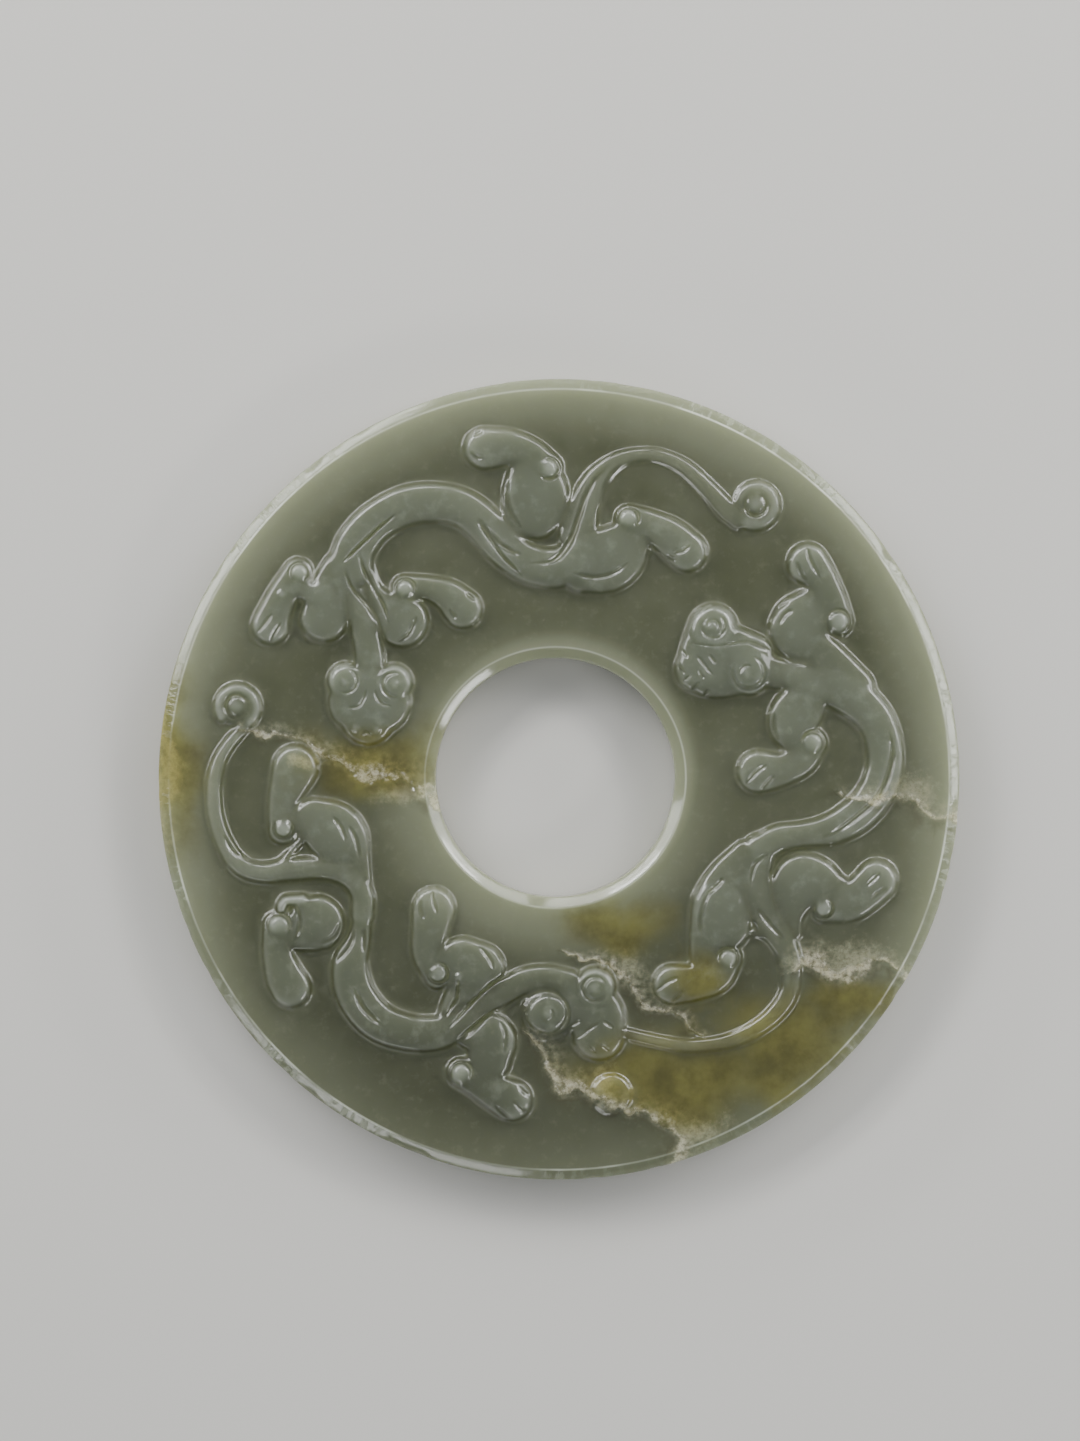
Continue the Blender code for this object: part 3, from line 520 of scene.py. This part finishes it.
# %% [markdown]
# The fissures are pitted: a band along each line breaks into grains, and its upper side stands up
# very slightly. The line is bent by noise first, so that it wanders like a crack and not like a drawn
# curve. What is worked out here, how many half widths of the band a place lies from its middle,
# colours the stone later too.


# %% Pitted fissures
WANDER_SIZE, WANDER_REACH = 2.8, 3.0
FURTHEST = 8.0
GRAIN_SIZE, GRAIN_DEPTH = 1.3, 0.9
RAISED_SIDE = 0.16


def bent(x, y, size, reach, seed):
    """The places pushed about by noise of the given size, by up to half of reach each way."""
    return (x + reach * (mottled(x, y, size, seed) - 0.5),
            y + reach * (mottled(x, y, size, seed + 5) - 0.5))


def to_fissure(name, x, y):
    """The distance of each place from a fissure, in half widths of its band: 0 in its middle, more
    than 0 on its upper side and less than 0 on its lower side."""
    path = smooth_line(FISSURES[name], between=4)
    bent_x, bent_y = bent(x, y, WANDER_SIZE, WANDER_REACH, 21)
    nearest = np.full(x.shape, np.inf)
    signed = np.full(x.shape, 9.0)
    for start, stop in zip(path, path[1:]):
        step = stop - start
        to_x = bent_x - start[0]
        to_y = bent_y - start[1]
        along = np.clip((to_x * step[0] + to_y * step[1]) / (step[0] ** 2 + step[1] ** 2), 0, 1)
        away = np.hypot(to_x - along * step[0], to_y - along * step[1])
        upper = np.where(step[0] * to_y - step[1] * to_x >= 0, 1, -1)
        closer = away < nearest
        nearest[closer] = away[closer]
        signed[closer] = (upper * away / (start[2] + along * step[2]))[closer]
    return signed


def fissure_gap(x, y):
    """The signed distance from whichever fissure is nearest, kept between -6 and 6."""
    signed = np.full(x.shape, 6.0)
    for name, line in FISSURES.items():
        here = near(np.array(line), x, y, margin=FURTHEST)
        one = to_fissure(name, x[here], y[here])
        signed[here] = np.where(np.abs(one) < np.abs(signed[here]), one, signed[here])
    return signed


gap = fissure_gap(flat_x, flat_y)
pitted = np.clip(1.3 - np.abs(gap), 0, 1)
upper_lip = RAISED_SIDE * np.clip(gap / 0.4 + 0.5, 0, 1) * np.clip(1.6 - np.abs(gap), 0, 1)
grain = mottled(flat_x, flat_y, GRAIN_SIZE, 41)
stands += upper_lip - pitted * GRAIN_DEPTH * np.clip(grain - 0.44, 0, 1)
face_z = np.minimum(FACE + stands, TOP - 0.01).reshape(face_x.shape)
print("pitted share of the face", round(100 * float((pitted > 0.2).mean()), 1), "%")

# %% [markdown]
# The rest of the loop is plain: rim bevel, side, back and wall of the hole. Its corners are eased,
# because a polished stone has no sharp corner, and the rim carries small bites and grinding ticks.


# %% The edge, the back and the hole
EDGE_STEP, BACK_STEP = 0.8, 6.0
FACE_LEAD, BACK_LEAD = 0.5, 2


def eased(corners, ease):
    """A line through the corners, each corner replaced by a short curve: a quadratic Bezier from
    one ease before the corner to one ease after it."""
    corners = np.array(corners, float)
    out = [corners[:1]]
    t = np.linspace(0, 1, 5)[:, None]
    for before, corner, after in zip(corners, corners[1:], corners[2:]):
        toward = (before - corner) / np.linalg.norm(before - corner)
        onward = (after - corner) / np.linalg.norm(after - corner)
        start = corner + toward * ease
        stop = corner + onward * ease
        out.append((1 - t) ** 2 * start + 2 * t * (1 - t) * corner + t ** 2 * stop)
    out.append(corners[-1:])
    return np.vstack(out)


def filled(line, longest):
    """The same line with points added, so that no step is longer than the given length."""
    pieces = []
    for start, stop in zip(line, line[1:]):
        count = max(1, int(np.ceil(np.linalg.norm(stop - start) / longest)))
        pieces.append(start + (stop - start) * np.arange(count)[:, None] / count)
    return np.vstack(pieces)


edge = eased([
    (FIELD_RADIUS - FACE_LEAD, FACE),
    (FIELD_RADIUS, FACE),
    (RIM_RADIUS, FACE - RIM_BEVEL[1]),
    (RIM_RADIUS, BACK_BEVEL),
    (RIM_RADIUS - BACK_BEVEL, 0.0),
    (RIM_RADIUS - BACK_BEVEL - BACK_LEAD, 0.0),
], EASE)[1:]
inner = eased([
    (HOLE_RADIUS + BACK_BEVEL + BACK_LEAD, 0.0),
    (HOLE_RADIUS + BACK_BEVEL, 0.0),
    (HOLE_RADIUS, BACK_BEVEL),
    (HOLE_RADIUS, FACE - LIP_BEVEL[1]),
    (LIP_RADIUS, FACE),
    (LIP_RADIUS + FACE_LEAD, FACE),
], EASE)[:-1]
loop = np.vstack([filled(edge, EDGE_STEP), filled(np.vstack([edge[-1], inner[0]]), BACK_STEP),
                  filled(inner, EDGE_STEP), inner[-1:]])
print("loop of the edge, back and hole:", len(loop), "rings")

# %% Bites along the rim
BITE_SIZE, BITE_DEPTH = 2.6, 0.5
WORN_ARC = 25.0
rim_spoke = spoke[::ROUND_STEPS // RIM_STEPS]
profile_radius, angle_part = np.meshgrid(loop[:, 0], rim_spoke)
profile_height = np.broadcast_to(loop[:, 1], profile_radius.shape)
on_bevel = np.clip(1 - np.abs(profile_height - (FACE - RIM_BEVEL[1])) / 0.9, 0, 1) * (
    profile_radius > FIELD_RADIUS - 1)
along_rim = angle_part * RIM_RADIUS
wear = np.clip(cloudy(along_rim, profile_height * 3, BITE_SIZE, 8) - 0.55, 0, 1) / 0.45
worn_arcs = cloudy(along_rim, profile_height * 0, WORN_ARC, 9)
bite = BITE_DEPTH * on_bevel * wear ** 1.5 * worn_arcs
rest_x, rest_y = on_disc(profile_radius - bite, angle_part)
rest_z = profile_height - 0.6 * bite
print("deepest bite in the rim", round(float(bite.max()), 2), "mm")

# %% [markdown]
# Face and edge are two grids. The face needs many spokes and the edge few, so three spokes of the
# face meet each spoke of the edge in a narrow strip of triangles that lies flat. The face is then
# thinned where it is plain; its first and last ring, the edge and the fissures are left alone.


# %% One closed skin
def quads_between(number):
    """Four corners of each cell of a grid of vertex numbers; spokes close on themselves."""
    after = np.roll(number, -1, 0)
    cells = [number[:, :-1], number[:, 1:], after[:, 1:], after[:, :-1]]
    return np.stack(cells, axis=-1).reshape(-1, 4)


def strip(many, few, outward):
    """Triangles between a ring of many spokes and a ring of a third as many. Each spoke of the
    few takes the three nearest steps of the many, and one triangle goes on to the next of the few."""
    at = np.arange(len(few)) * 3
    following = np.roll(few, -1)
    triangles = [np.stack([many[(at + i) % len(many)], few, many[(at + i + 1) % len(many)]], 1)
                 for i in (-1, 0, 1)]
    triangles.append(np.stack([many[at + 2], few, following], 1))
    triangles = np.vstack(triangles)
    return triangles if outward else triangles[:, ::-1]


def closed_mesh(name, points, polygons):
    """A mesh of the points and of polygons given as arrays of corner numbers."""
    corners = np.concatenate([polygon.ravel() for polygon in polygons])
    sizes = np.concatenate([np.full(len(polygon), polygon.shape[1]) for polygon in polygons])
    mesh = bpy.data.meshes.new(name)
    mesh.vertices.add(len(points))
    mesh.vertices.foreach_set("co", (points * MM).ravel())
    mesh.loops.add(len(corners))
    mesh.loops.foreach_set("vertex_index", corners)
    mesh.polygons.add(len(sizes))
    mesh.polygons.foreach_set("loop_start", np.concatenate([[0], np.cumsum(sizes)[:-1]]))
    mesh.update(calc_edges=True)
    mesh.validate()
    return mesh


face_number = np.arange(face_x.size).reshape(face_x.shape)
edge_number = face_x.size + np.arange(rest_x.size).reshape(rest_x.shape)
skin = np.vstack([np.stack([part.ravel() for part in grid], axis=1)
                  for grid in ((face_x, face_y, face_z), (rest_x, rest_y, rest_z))])
dense_mesh = closed_mesh("dense skin", skin, [
    quads_between(face_number),
    quads_between(edge_number),
    strip(face_number[:, -1], edge_number[:, 0], True),
    strip(face_number[:, 0], edge_number[:, -1], False),
])
dense = bpy.data.objects.new("dense skin", dense_mesh)
bpy.context.scene.collection.objects.link(dense)
print("dense skin:", len(skin), "points")

# %% Thinned where it is plain
TRIANGLES = 194000
may_go = (np.abs(gap) > 1.1).reshape(face_x.shape)
may_go[:, [0, -1]] = False
dense.vertex_groups.new(name="may go").add(face_number[may_go].tolist(), 1.0, "REPLACE")
thin = dense.modifiers.new("thin", "DECIMATE")
thin.vertex_group = "may go"
dense_mesh.calc_loop_triangles()
thin.ratio = TRIANGLES / len(dense_mesh.loop_triangles)
depsgraph = bpy.context.evaluated_depsgraph_get()
carved = bpy.data.meshes.new_from_object(dense.evaluated_get(depsgraph))
bpy.data.objects.remove(dense)
carved.name = "carved_jade_disc"
carved.shade_smooth()
disc = bpy.data.objects.new("carved_jade_disc", carved)
bpy.context.scene.collection.objects.link(disc)
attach(disc, "root")
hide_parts("bi_disc")
carved.calc_loop_triangles()
print("carved disc:", len(carved.loop_triangles), "triangles")

# %% [markdown]
# The thinned skin keeps its triangles where the carving is. Its shading still comes from the dense
# face: each vertex is given the slope of the surface at its place. In the same way it is told
# where it lies: near a fissure, in a stain, in a hollow or on a crest. The colours use these.


# %% What each vertex knows
def on_grid(x, y):
    """The spoke and ring number, with fractions, of each place: the way back from on_disc. The
    radius is guessed, the slide of its ring is taken off, and the radius is worked out again."""
    radius = np.hypot(x, y)
    for _ in range(4):
        middle_x, middle_y = ring_middle(radius)
        dx = x - middle_x
        dy = y - middle_y
        radius = np.hypot(dx, dy)
    across = (radius - FIELD_START) / (FIELD_END - FIELD_START) * (FACE_STEPS - 1)
    return np.arctan2(dy, dx) % (2 * np.pi) / (2 * np.pi) * ROUND_STEPS, across


def looked_up(field, spokes, rings):
    """The field's value at each place, blended from the four grid points about it."""
    rings = np.clip(rings, 0, FACE_STEPS - 1.001)
    i = np.floor(spokes).astype(int)
    j = np.floor(rings).astype(int)
    a = spokes - i
    b = rings - j
    after = (i + 1) % ROUND_STEPS
    i = i % ROUND_STEPS
    return ((field[i, j] * (1 - a) + field[after, j] * a) * (1 - b)
            + (field[i, j + 1] * (1 - a) + field[after, j + 1] * a) * b)


# %% The slope at each vertex
count = len(carved.vertices)
points = np.empty(count * 3)
carved.vertices.foreach_get("co", points)
points = points.reshape(-1, 3) / MM
normals = np.empty(count * 3)
carved.vertex_normals.foreach_get("vector", normals)
normals = normals.reshape(-1, 3)
spokes, rings = on_grid(points[:, 0], points[:, 1])
on_face = (rings > -0.5) & (rings < FACE_STEPS - 0.5) & (points[:, 2] > FACE / 2)
round_slope = (np.roll(face_z, -1, 0) - np.roll(face_z, 1, 0)) / (4 * np.pi / ROUND_STEPS) / ring_grid
out_slope = np.gradient(face_z, ring, axis=1)
slope_x = looked_up(out_slope * np.cos(angle_grid) - round_slope * np.sin(angle_grid), spokes, rings)
slope_y = looked_up(out_slope * np.sin(angle_grid) + round_slope * np.cos(angle_grid), spokes, rings)
steep = np.stack([-slope_x, -slope_y, np.ones(count)], axis=1)
steep /= np.linalg.norm(steep, axis=1)[:, None]
normals[on_face] = steep[on_face]
carved.normals_split_custom_set_from_vertices(normals)
print(round(100 * float(on_face.mean())), "% of the vertices lie on the face")

# %% Stains and clouds
def blot(x, y, middle_x, middle_y, wide, tall):
    """1 in the middle of an oval stain and 0 at its edge, by soft_step."""
    return soft_step(np.clip(1 - np.hypot((x - middle_x) / wide, (y - middle_y) / tall), 0, 1))


# Stains and cottony clouds are (x, y, half width, half height, the fissure they end at or None)
STAINS = [(-63, 6, 9, 27, None), (-30, 3, 21, 9, None), (9, -24, 14, 8, "centre"),
          (24, -34, 9, 9, "centre"), (18, -49, 28, 12, "low"), (37, -42, 17, 13, None),
          (46, -35, 13, 6, None), (34, -50, 10, 7, None)]
CLOUDS = [(59, -2.0, 8, 5.5, "right"), (47, -28, 10, 5.5, "right low"), (-25, -1, 9, 3.5, None),
          (9, -50, 5, 4, "low"), (22, -56, 9, 4, "low"), (-64, 2, 3.2, 22, None),
          (10, -30, 5, 3, "centre"), (-41.5, 4.5, 3.0, 2.2, None)]
BROAD_RUBS = 60
STAIN_WAVE, STAIN_REACH = 10.0, 9.0
crest = np.where(on_face, looked_up(face_z - rubbed(face_z, BROAD_RUBS), spokes, rings), 0.0)
stain_x, stain_y = bent(points[:, 0], points[:, 1], STAIN_WAVE, STAIN_REACH, 61)


def blots(shapes):
    """The strongest of the blots at each place. One that ends at a fissure lies above it only."""
    strongest = np.zeros(count)
    for *shape, ends_at in shapes:
        one = blot(stain_x, stain_y, *shape)
        if ends_at:
            one = one * np.clip(to_fissure(ends_at, points[:, 0], points[:, 1]) / 0.8 + 0.5, 0, 1)
        strongest = np.maximum(strongest, one)
    return strongest


signed = fissure_gap(points[:, 0], points[:, 1])
knows = {
    "fissure": np.where(signed > 0, signed, -3 * signed),
    "shade": np.clip(1 - np.abs(signed + 1.2) / 1.4, 0, 1),
    "crest": crest,
    "stain": blots(STAINS),
    "cloud": blots(CLOUDS),
}
for name, values in knows.items():
    carved.attributes.new(name, "FLOAT", "POINT").data.foreach_set("value", values.astype(np.float32))
    print(name, "runs from", round(float(values.min()), 2), "to", round(float(values.max()), 2))

# %% [markdown]
# The finish of nephrite is waxy, and light enters it, so its edges glow a little and its shadows are soft.
# The colour is a grey celadon with olive stains along the fissures and off-white cotton in them. Painted
# light and shade are added to it: a paler, bluer glow where the stone is thin, sheen where it is proud, light
# in the creases, highlights on crests and rim, and shade towards the bottom.


# %% Sums of sockets
class Wire:
    """A socket that can be used in a sum. Each sign adds one Math node to the material."""

    def __init__(self, tree, socket):
        self.tree = tree
        self.socket = socket

    def node(self, kind, settings=None, **inputs):
        """Adds any node: first its settings, then values or links for its sockets, by name or
        by number when written as s0, s1 and so on."""
        made = self.tree.nodes.new(kind)
        for key, value in (settings or {}).items():
            setattr(made, key, value)
        for key, value in inputs.items():
            slot = made.inputs[int(key[1:])] if key[0] == "s" and key[1:].isdigit() else made.inputs[key]
            if isinstance(value, Wire):
                self.tree.links.new(value.socket, slot)
            else:
                slot.default_value = value
        return made

    def out(self, made, name=0):
        return Wire(self.tree, made.outputs[name])

    def sum(self, operation, *terms):
        terms = {f"s{i}": term for i, term in enumerate(terms)}
        return self.out(self.node("ShaderNodeMath", {"operation": operation}, **terms))

    def vector(self, operation, *terms, out=0):
        terms = {f"s{i}": term for i, term in enumerate(terms)}
        return self.out(self.node("ShaderNodeVectorMath", {"operation": operation}, **terms), out)

    def __add__(self, other):
        return self.sum("ADD", self, other)

    __radd__ = __add__

    def __mul__(self, other):
        return self.sum("MULTIPLY", self, other)

    __rmul__ = __mul__

    def __sub__(self, other):
        return self.sum("SUBTRACT", self, other)

    def __rsub__(self, other):
        return self.sum("SUBTRACT", other, self)

    def ramp(self, low, high):
        """0 up to low, 1 from high on, and smooth between them."""
        made = self.node("ShaderNodeMapRange", {"interpolation_type": "SMOOTHSTEP"},
                         Value=self, s1=low, s2=high)
        return self.out(made)

    def mix(self, first, second):
        """The first colour where this value is 0, the second where it is 1."""
        made = self.node("ShaderNodeMix", {"data_type": "RGBA"}, s0=self)
        for slot, value in ((made.inputs[6], first), (made.inputs[7], second)):
            if isinstance(value, Wire):
                self.tree.links.new(value.socket, slot)
            else:
                slot.default_value = (*value, 1.0)
        return Wire(self.tree, made.outputs[2])


def srgb(*levels):
    """Display levels from 0 to 255 as linear light."""
    share = np.array(levels) / 255
    return tuple(float(v) for v in np.where(share < 0.04045, share / 12.92, ((share + 0.055) / 1.055) ** 2.4))


jade = bpy.data.materials.new("celadon nephrite")
jade.use_nodes = True
tree = jade.node_tree
shader = tree.nodes["Principled BSDF"]
place = Wire(tree, tree.nodes.new("ShaderNodeTexCoord").outputs["Object"])
place = place.vector("MULTIPLY", place, (1000.0, 1000.0, 1000.0))
print("jade material started with", len(tree.nodes), "nodes")

# %% [markdown]
# Masks come next. Each says how much of something lies at a place of the stone: how far from a
# fissure, how deep in a stain, how near an edge, how high on the relief. Noise breaks their edges.


# %% Masks
def noise(size, detail=3.0, rough=0.55):
    """Soft noise whose blotches are about as wide as size, in millimetres."""
    made = place.node("ShaderNodeTexNoise", None, Vector=place, Scale=1.0 / size, Detail=detail,
                      Roughness=rough)
    return place.out(made, "Fac")


def known(name):
    """What the vertices know about their place, blended across each triangle."""
    return place.out(place.node("ShaderNodeAttribute", {"attribute_name": name}), "Fac")


# Noise of two sizes frays the edge of each crack. Cotton fills the crack, milk clouds the stone beside it
crumbs = noise(0.9, 6.0, 0.72)
fissure = known("fissure") + (noise(1.5, 6.0, 0.72) - 0.5) * 3.0 + (noise(4.5, 3.0) - 0.5) * 3.6
cotton = (1.0 - fissure.ramp(-0.5, 1.3)) * crumbs.ramp(0.22, 0.62)
shade = known("shade") * noise(2.0, 4.0).ramp(0.3, 0.6)
olive = (known("stain") + (noise(7.0, 6.0, 0.62) - 0.5) * 0.7).ramp(0.02, 0.95)
cloudy_milk = (known("cloud") + (noise(1.4, 7.0, 0.75) - 0.5) * 1.7).ramp(0.15, 0.95)
milk = place.sum("MAXIMUM", cloudy_milk, (1.0 - fissure.ramp(0.4, 4.5)) * noise(1.0, 5.0).ramp(0.3, 0.75))
milk = milk * (crumbs.ramp(0.30, 0.60) * 0.7 + 0.3)
print("stain masks made;", len(tree.nodes), "nodes so far")


# %% Masks of the edges and the relief
GLOW_MIDDLE = (-2.6, -3.0)


def away_from(x, y):
    """How far each place lies from an upright line through x and y."""
    across = place.vector("SUBTRACT", place, (float(x), float(y), 0.0))
    return place.vector("LENGTH", place.vector("MULTIPLY", across, (1.0, 1.0, 0.0)), out="Value")


from_middle = away_from(0.0, 0.0)
from_hole = away_from(*HOLE_MIDDLE)
from_glow = away_from(*GLOW_MIDDLE)
parts = place.node("ShaderNodeSeparateXYZ", None, Vector=place)
height = place.out(parts, "Z")
# Painted glow where the stone is thin: near the rim, near the lip, and in a wide ring about the hole
# Painted shade: the lower half of the disc is darker, and its rim glows less
lower_shade = (place.out(parts, "Y") * -1.0).ramp(4.0, 50.0)
rim_glow = from_middle.ramp(53.0, 64.8) * (1.0 - lower_shade * 0.7)
painted_glow = place.sum("MAXIMUM", rim_glow, 1.0 - from_hole.ramp(20.0, 25.0))
painted_glow = place.sum("MAXIMUM", painted_glow, (1.0 - from_glow.ramp(18.0, 30.0)) * 0.8)
# Painted sheen: the higher the relief stands, the paler and bluer it is tinted
raised_sheen = height.ramp(FACE + 0.1, FACE + 2.2)
# Pale marks on the rim's bevel come in spells, and a painted highlight line runs where bevel and face meet,
# fainter round the lip
round_rim = place.sum("ARCTAN2", place.out(parts, "Y"), place.out(parts, "X")) * RIM_RADIUS
unrolled = place.out(place.node("ShaderNodeCombineXYZ", None, X=round_rim, Y=from_middle * 0.45))
ticks = place.node("ShaderNodeTexNoise", None, Vector=unrolled, Scale=0.8, Detail=3.0, Roughness=0.55)
spells = place.node("ShaderNodeTexNoise", None, Vector=unrolled, Scale=0.09, Detail=2.0)
spells = place.out(spells, "Fac").ramp(0.40, 0.66)
rim_band = (from_middle.ramp(FIELD_RADIUS - 0.1, FIELD_RADIUS + 0.1)
            * height.ramp(FACE - RIM_BEVEL[1] - 0.5, FACE - RIM_BEVEL[1] + 0.1))
ticks = place.out(ticks, "Fac").ramp(0.46, 0.64) * rim_band * (spells * 0.9 + 0.1)
at_rim = 1.0 - place.sum("ABSOLUTE", from_middle - (FIELD_RADIUS + 0.05)).ramp(0.04, 0.26)
at_lip = 1.0 - place.sum("ABSOLUTE", from_hole - (LIP_RADIUS + 0.05)).ramp(0.04, 0.24)
on_top = height.ramp(FACE - 0.6, FACE - 0.3)
highlight_line = place.sum("MAXIMUM", at_rim * (spells * 0.75 + 0.25), at_lip * 0.45) * on_top
crest_height = known("crest")
# Wear with painted highlights: the crests of the relief are paler
wear_and_highlight = crest_height.ramp(0.05, 0.5)
# Painted light: the creases at the foot of each form are lightened against their shade
crease_light = 1.0 - crest_height.ramp(-0.45, -0.02)
print("all masks made;", len(tree.nodes), "nodes so far")

# %% The colour of the jade
# From below upwards: the ground, painted sheen on the relief, painted shade low down, painted glow at thin
# edges, the stain, painted light in creases, wear with painted highlights, the white cotton
tone = noise(16.0, 4.0).ramp(0.30, 0.72)
fleck = noise(1.3, 4.0).ramp(0.52, 0.80)
deep_olive = noise(7.0, 5.0, 0.60).ramp(0.30, 0.72).mix(srgb(120, 117, 58), srgb(84, 80, 36))
colour = tone.mix(srgb(81, 84, 61), srgb(94, 97, 76))
# painted sheen on the raised relief
colour = (raised_sheen * 0.6).mix(colour, srgb(112, 118, 105))
# painted shade towards the bottom
colour = (lower_shade * 0.42).mix(colour, srgb(58, 60, 43))
colour = (fleck * 0.08).mix(colour, srgb(170, 172, 150))
# painted glow of the thin stone
colour = (painted_glow * 0.7).mix(colour, srgb(148, 152, 128))
# Painted light: the rim's bevel is tinted paler
colour = (rim_band * 0.35).mix(colour, srgb(122, 127, 108))
colour = (ticks * 0.30).mix(colour, srgb(168, 174, 158))
# painted highlight line along the bevel's inner edge and round the lip
colour = (highlight_line * 0.75).mix(colour, srgb(206, 210, 196))
colour = (olive * 0.85).mix(colour, deep_olive)
# painted light in the creases
colour = (crease_light * 0.7).mix(colour, srgb(128, 132, 108))
# wear and painted highlights on the crests
colour = (wear_and_highlight * 0.32).mix(colour, srgb(168, 174, 162))
# painted sheen in patches on the raised relief
colour = (raised_sheen * noise(3.0, 4.0).ramp(0.50, 0.75) * 0.22).mix(colour, srgb(158, 164, 150))
colour = (milk * 0.6).mix(colour, olive.mix(srgb(174, 173, 144), srgb(160, 151, 90)))
colour = (shade * 0.4).mix(colour, srgb(62, 56, 32))
pits = noise(1.4, 6.0, 0.75).ramp(0.48, 0.64)
cottony = pits.mix(srgb(204, 198, 170), srgb(120, 112, 70))
colour = (cotton * 0.85).mix(colour, cottony)
tree.links.new(colour.socket, shader.inputs["Base Color"])
print("colours made;", len(tree.nodes), "nodes so far")

# %% The finish of the jade
polish = noise(2.5, 3.0) * 0.06 + 0.09 + cotton * 0.4 + ticks * 0.25
tree.links.new(polish.socket, shader.inputs["Roughness"])
shader.inputs["IOR"].default_value = 1.61
shader.inputs["Subsurface Weight"].default_value = 1.0
shader.inputs["Subsurface Radius"].default_value = (1.0, 1.05, 0.8)
shader.inputs["Subsurface Scale"].default_value = 0.014
grains = noise(0.45, 5.0) * cotton * 0.35 + noise(3.5, 2.0) * 0.03 + ticks * 0.06
bump = place.node("ShaderNodeBump", None, Height=grains, Strength=0.6, Distance=0.001)
tree.links.new(bump.outputs["Normal"], shader.inputs["Normal"])
disc.data.materials.clear()
disc.data.materials.append(jade)
print("jade material:", len(tree.nodes), "nodes")

# %% [markdown]
# The disc lies on a plain pale floor. Two long soft lights, on the upper left and upper right, give
# most of the light. A polished edge shows each light as a line as thin as the light is tall, so two
# glints, bright and very thin, draw the sharp lines along the relief. Three strips stand lower, where
# the rim's bevel mirrors them into the camera, and a last one does the same for the lip of the hole.
# The flat face mirrors none of them into the camera.


# %% Floor and lights
def plain_material(name, colour, roughness):
    material = bpy.data.materials.new(name)
    material.use_nodes = True
    principled = material.node_tree.nodes["Principled BSDF"]
    principled.inputs["Base Color"].default_value = (*colour, 1.0)
    principled.inputs["Roughness"].default_value = roughness
    return material


FLOOR_SIZE = 4.0
FLOOR_LEVEL = -0.0001
floor_mesh = bpy.data.meshes.new("floor")
half = FLOOR_SIZE / 2
floor_corners = [(-half, -half, FLOOR_LEVEL), (half, -half, FLOOR_LEVEL), (half, half, FLOOR_LEVEL),
                 (-half, half, FLOOR_LEVEL)]
floor_mesh.from_pydata(floor_corners, [], [(0, 1, 2, 3)])
floor_mesh.materials.append(plain_material("pale floor", srgb(214, 212, 206), 0.8))
floor = bpy.data.objects.new("floor", floor_mesh)
bpy.context.scene.collection.objects.link(floor)


def soft_light(name, position, long, tall, watts):
    """A light of the given length and height, turned to the middle of the disc."""
    light = bpy.data.lights.new(name, "AREA")
    light.shape = "RECTANGLE"
    light.size = long
    light.size_y = tall
    light.energy = watts
    lamp = bpy.data.objects.new(name, light)
    lamp.location = position
    lamp.rotation_euler = Vector(position).to_track_quat("Z", "Y").to_euler()
    bpy.context.scene.collection.objects.link(lamp)
    return lamp


# Lights are (name, angle round the disc, distance, height, length, how tall, watts)
LIGHTS = [("key", 128, 0.85, 0.55, 1.5, 0.26, 8.7), ("right", 42, 0.80, 0.50, 1.1, 0.24, 5.1),
          ("upper left glint", 130, 0.85, 0.50, 0.45, 0.05, 1.5),
          ("right glint", 40, 0.80, 0.46, 0.35, 0.05, 1.1),
          ("upper left strip", 138, 0.85, 0.245, 0.90, 0.08, 2.6),
          ("right strip", 22, 0.85, 0.245, 0.90, 0.08, 2.6),
          ("low strip", -120, 0.85, 0.245, 0.80, 0.08, 1.0),
          ("lip strip", -42, 0.85, 0.400, 0.50, 0.10, 2.2)]
for name, angle, distance, lamp_height, long, tall, watts in LIGHTS:
    turn = np.radians(angle)
    position = (distance * float(np.cos(turn)), distance * float(np.sin(turn)), lamp_height)
    soft_light(name, position, long, tall, watts)
world = bpy.data.worlds.new("studio")
world.use_nodes = True
world.node_tree.nodes["Background"].inputs["Color"].default_value = (0.9, 0.95, 1.0, 1.0)
world.node_tree.nodes["Background"].inputs["Strength"].default_value = 0.30
bpy.context.scene.world = world
print("floor", FLOOR_SIZE, "m and", len(LIGHTS), "soft lights")

# %% [markdown]
# The photograph looks at the disc straight on. The disc lies, so the camera looks straight down. It
# is aimed a little left of and above the disc's middle, which puts the disc low in the picture.

# %% Camera
PICTURE = (1080, 1441)
DISC_IN_PICTURE = (559.0, 779.3)
DISC_PIXELS = 400.5
LENS = 100.0
SENSOR = 36.0
mm_per_pixel = RIM_RADIUS / DISC_PIXELS
aim = ((PICTURE[0] / 2 - DISC_IN_PICTURE[0]) * mm_per_pixel,
       (DISC_IN_PICTURE[1] - PICTURE[1] / 2) * mm_per_pixel)
camera_data = bpy.data.cameras.new("camera")
camera_data.lens = LENS
camera_data.sensor_width = SENSOR
distance = PICTURE[1] * mm_per_pixel * LENS / SENSOR
camera = bpy.data.objects.new("camera", camera_data)
camera.location = (aim[0] * MM, aim[1] * MM, (distance + FACE - RIM_BEVEL[1]) * MM)
bpy.context.scene.collection.objects.link(camera)
bpy.context.scene.camera = camera
print("camera", round(distance), "mm above the disc, aimed at", [round(v, 2) for v in aim], "mm")
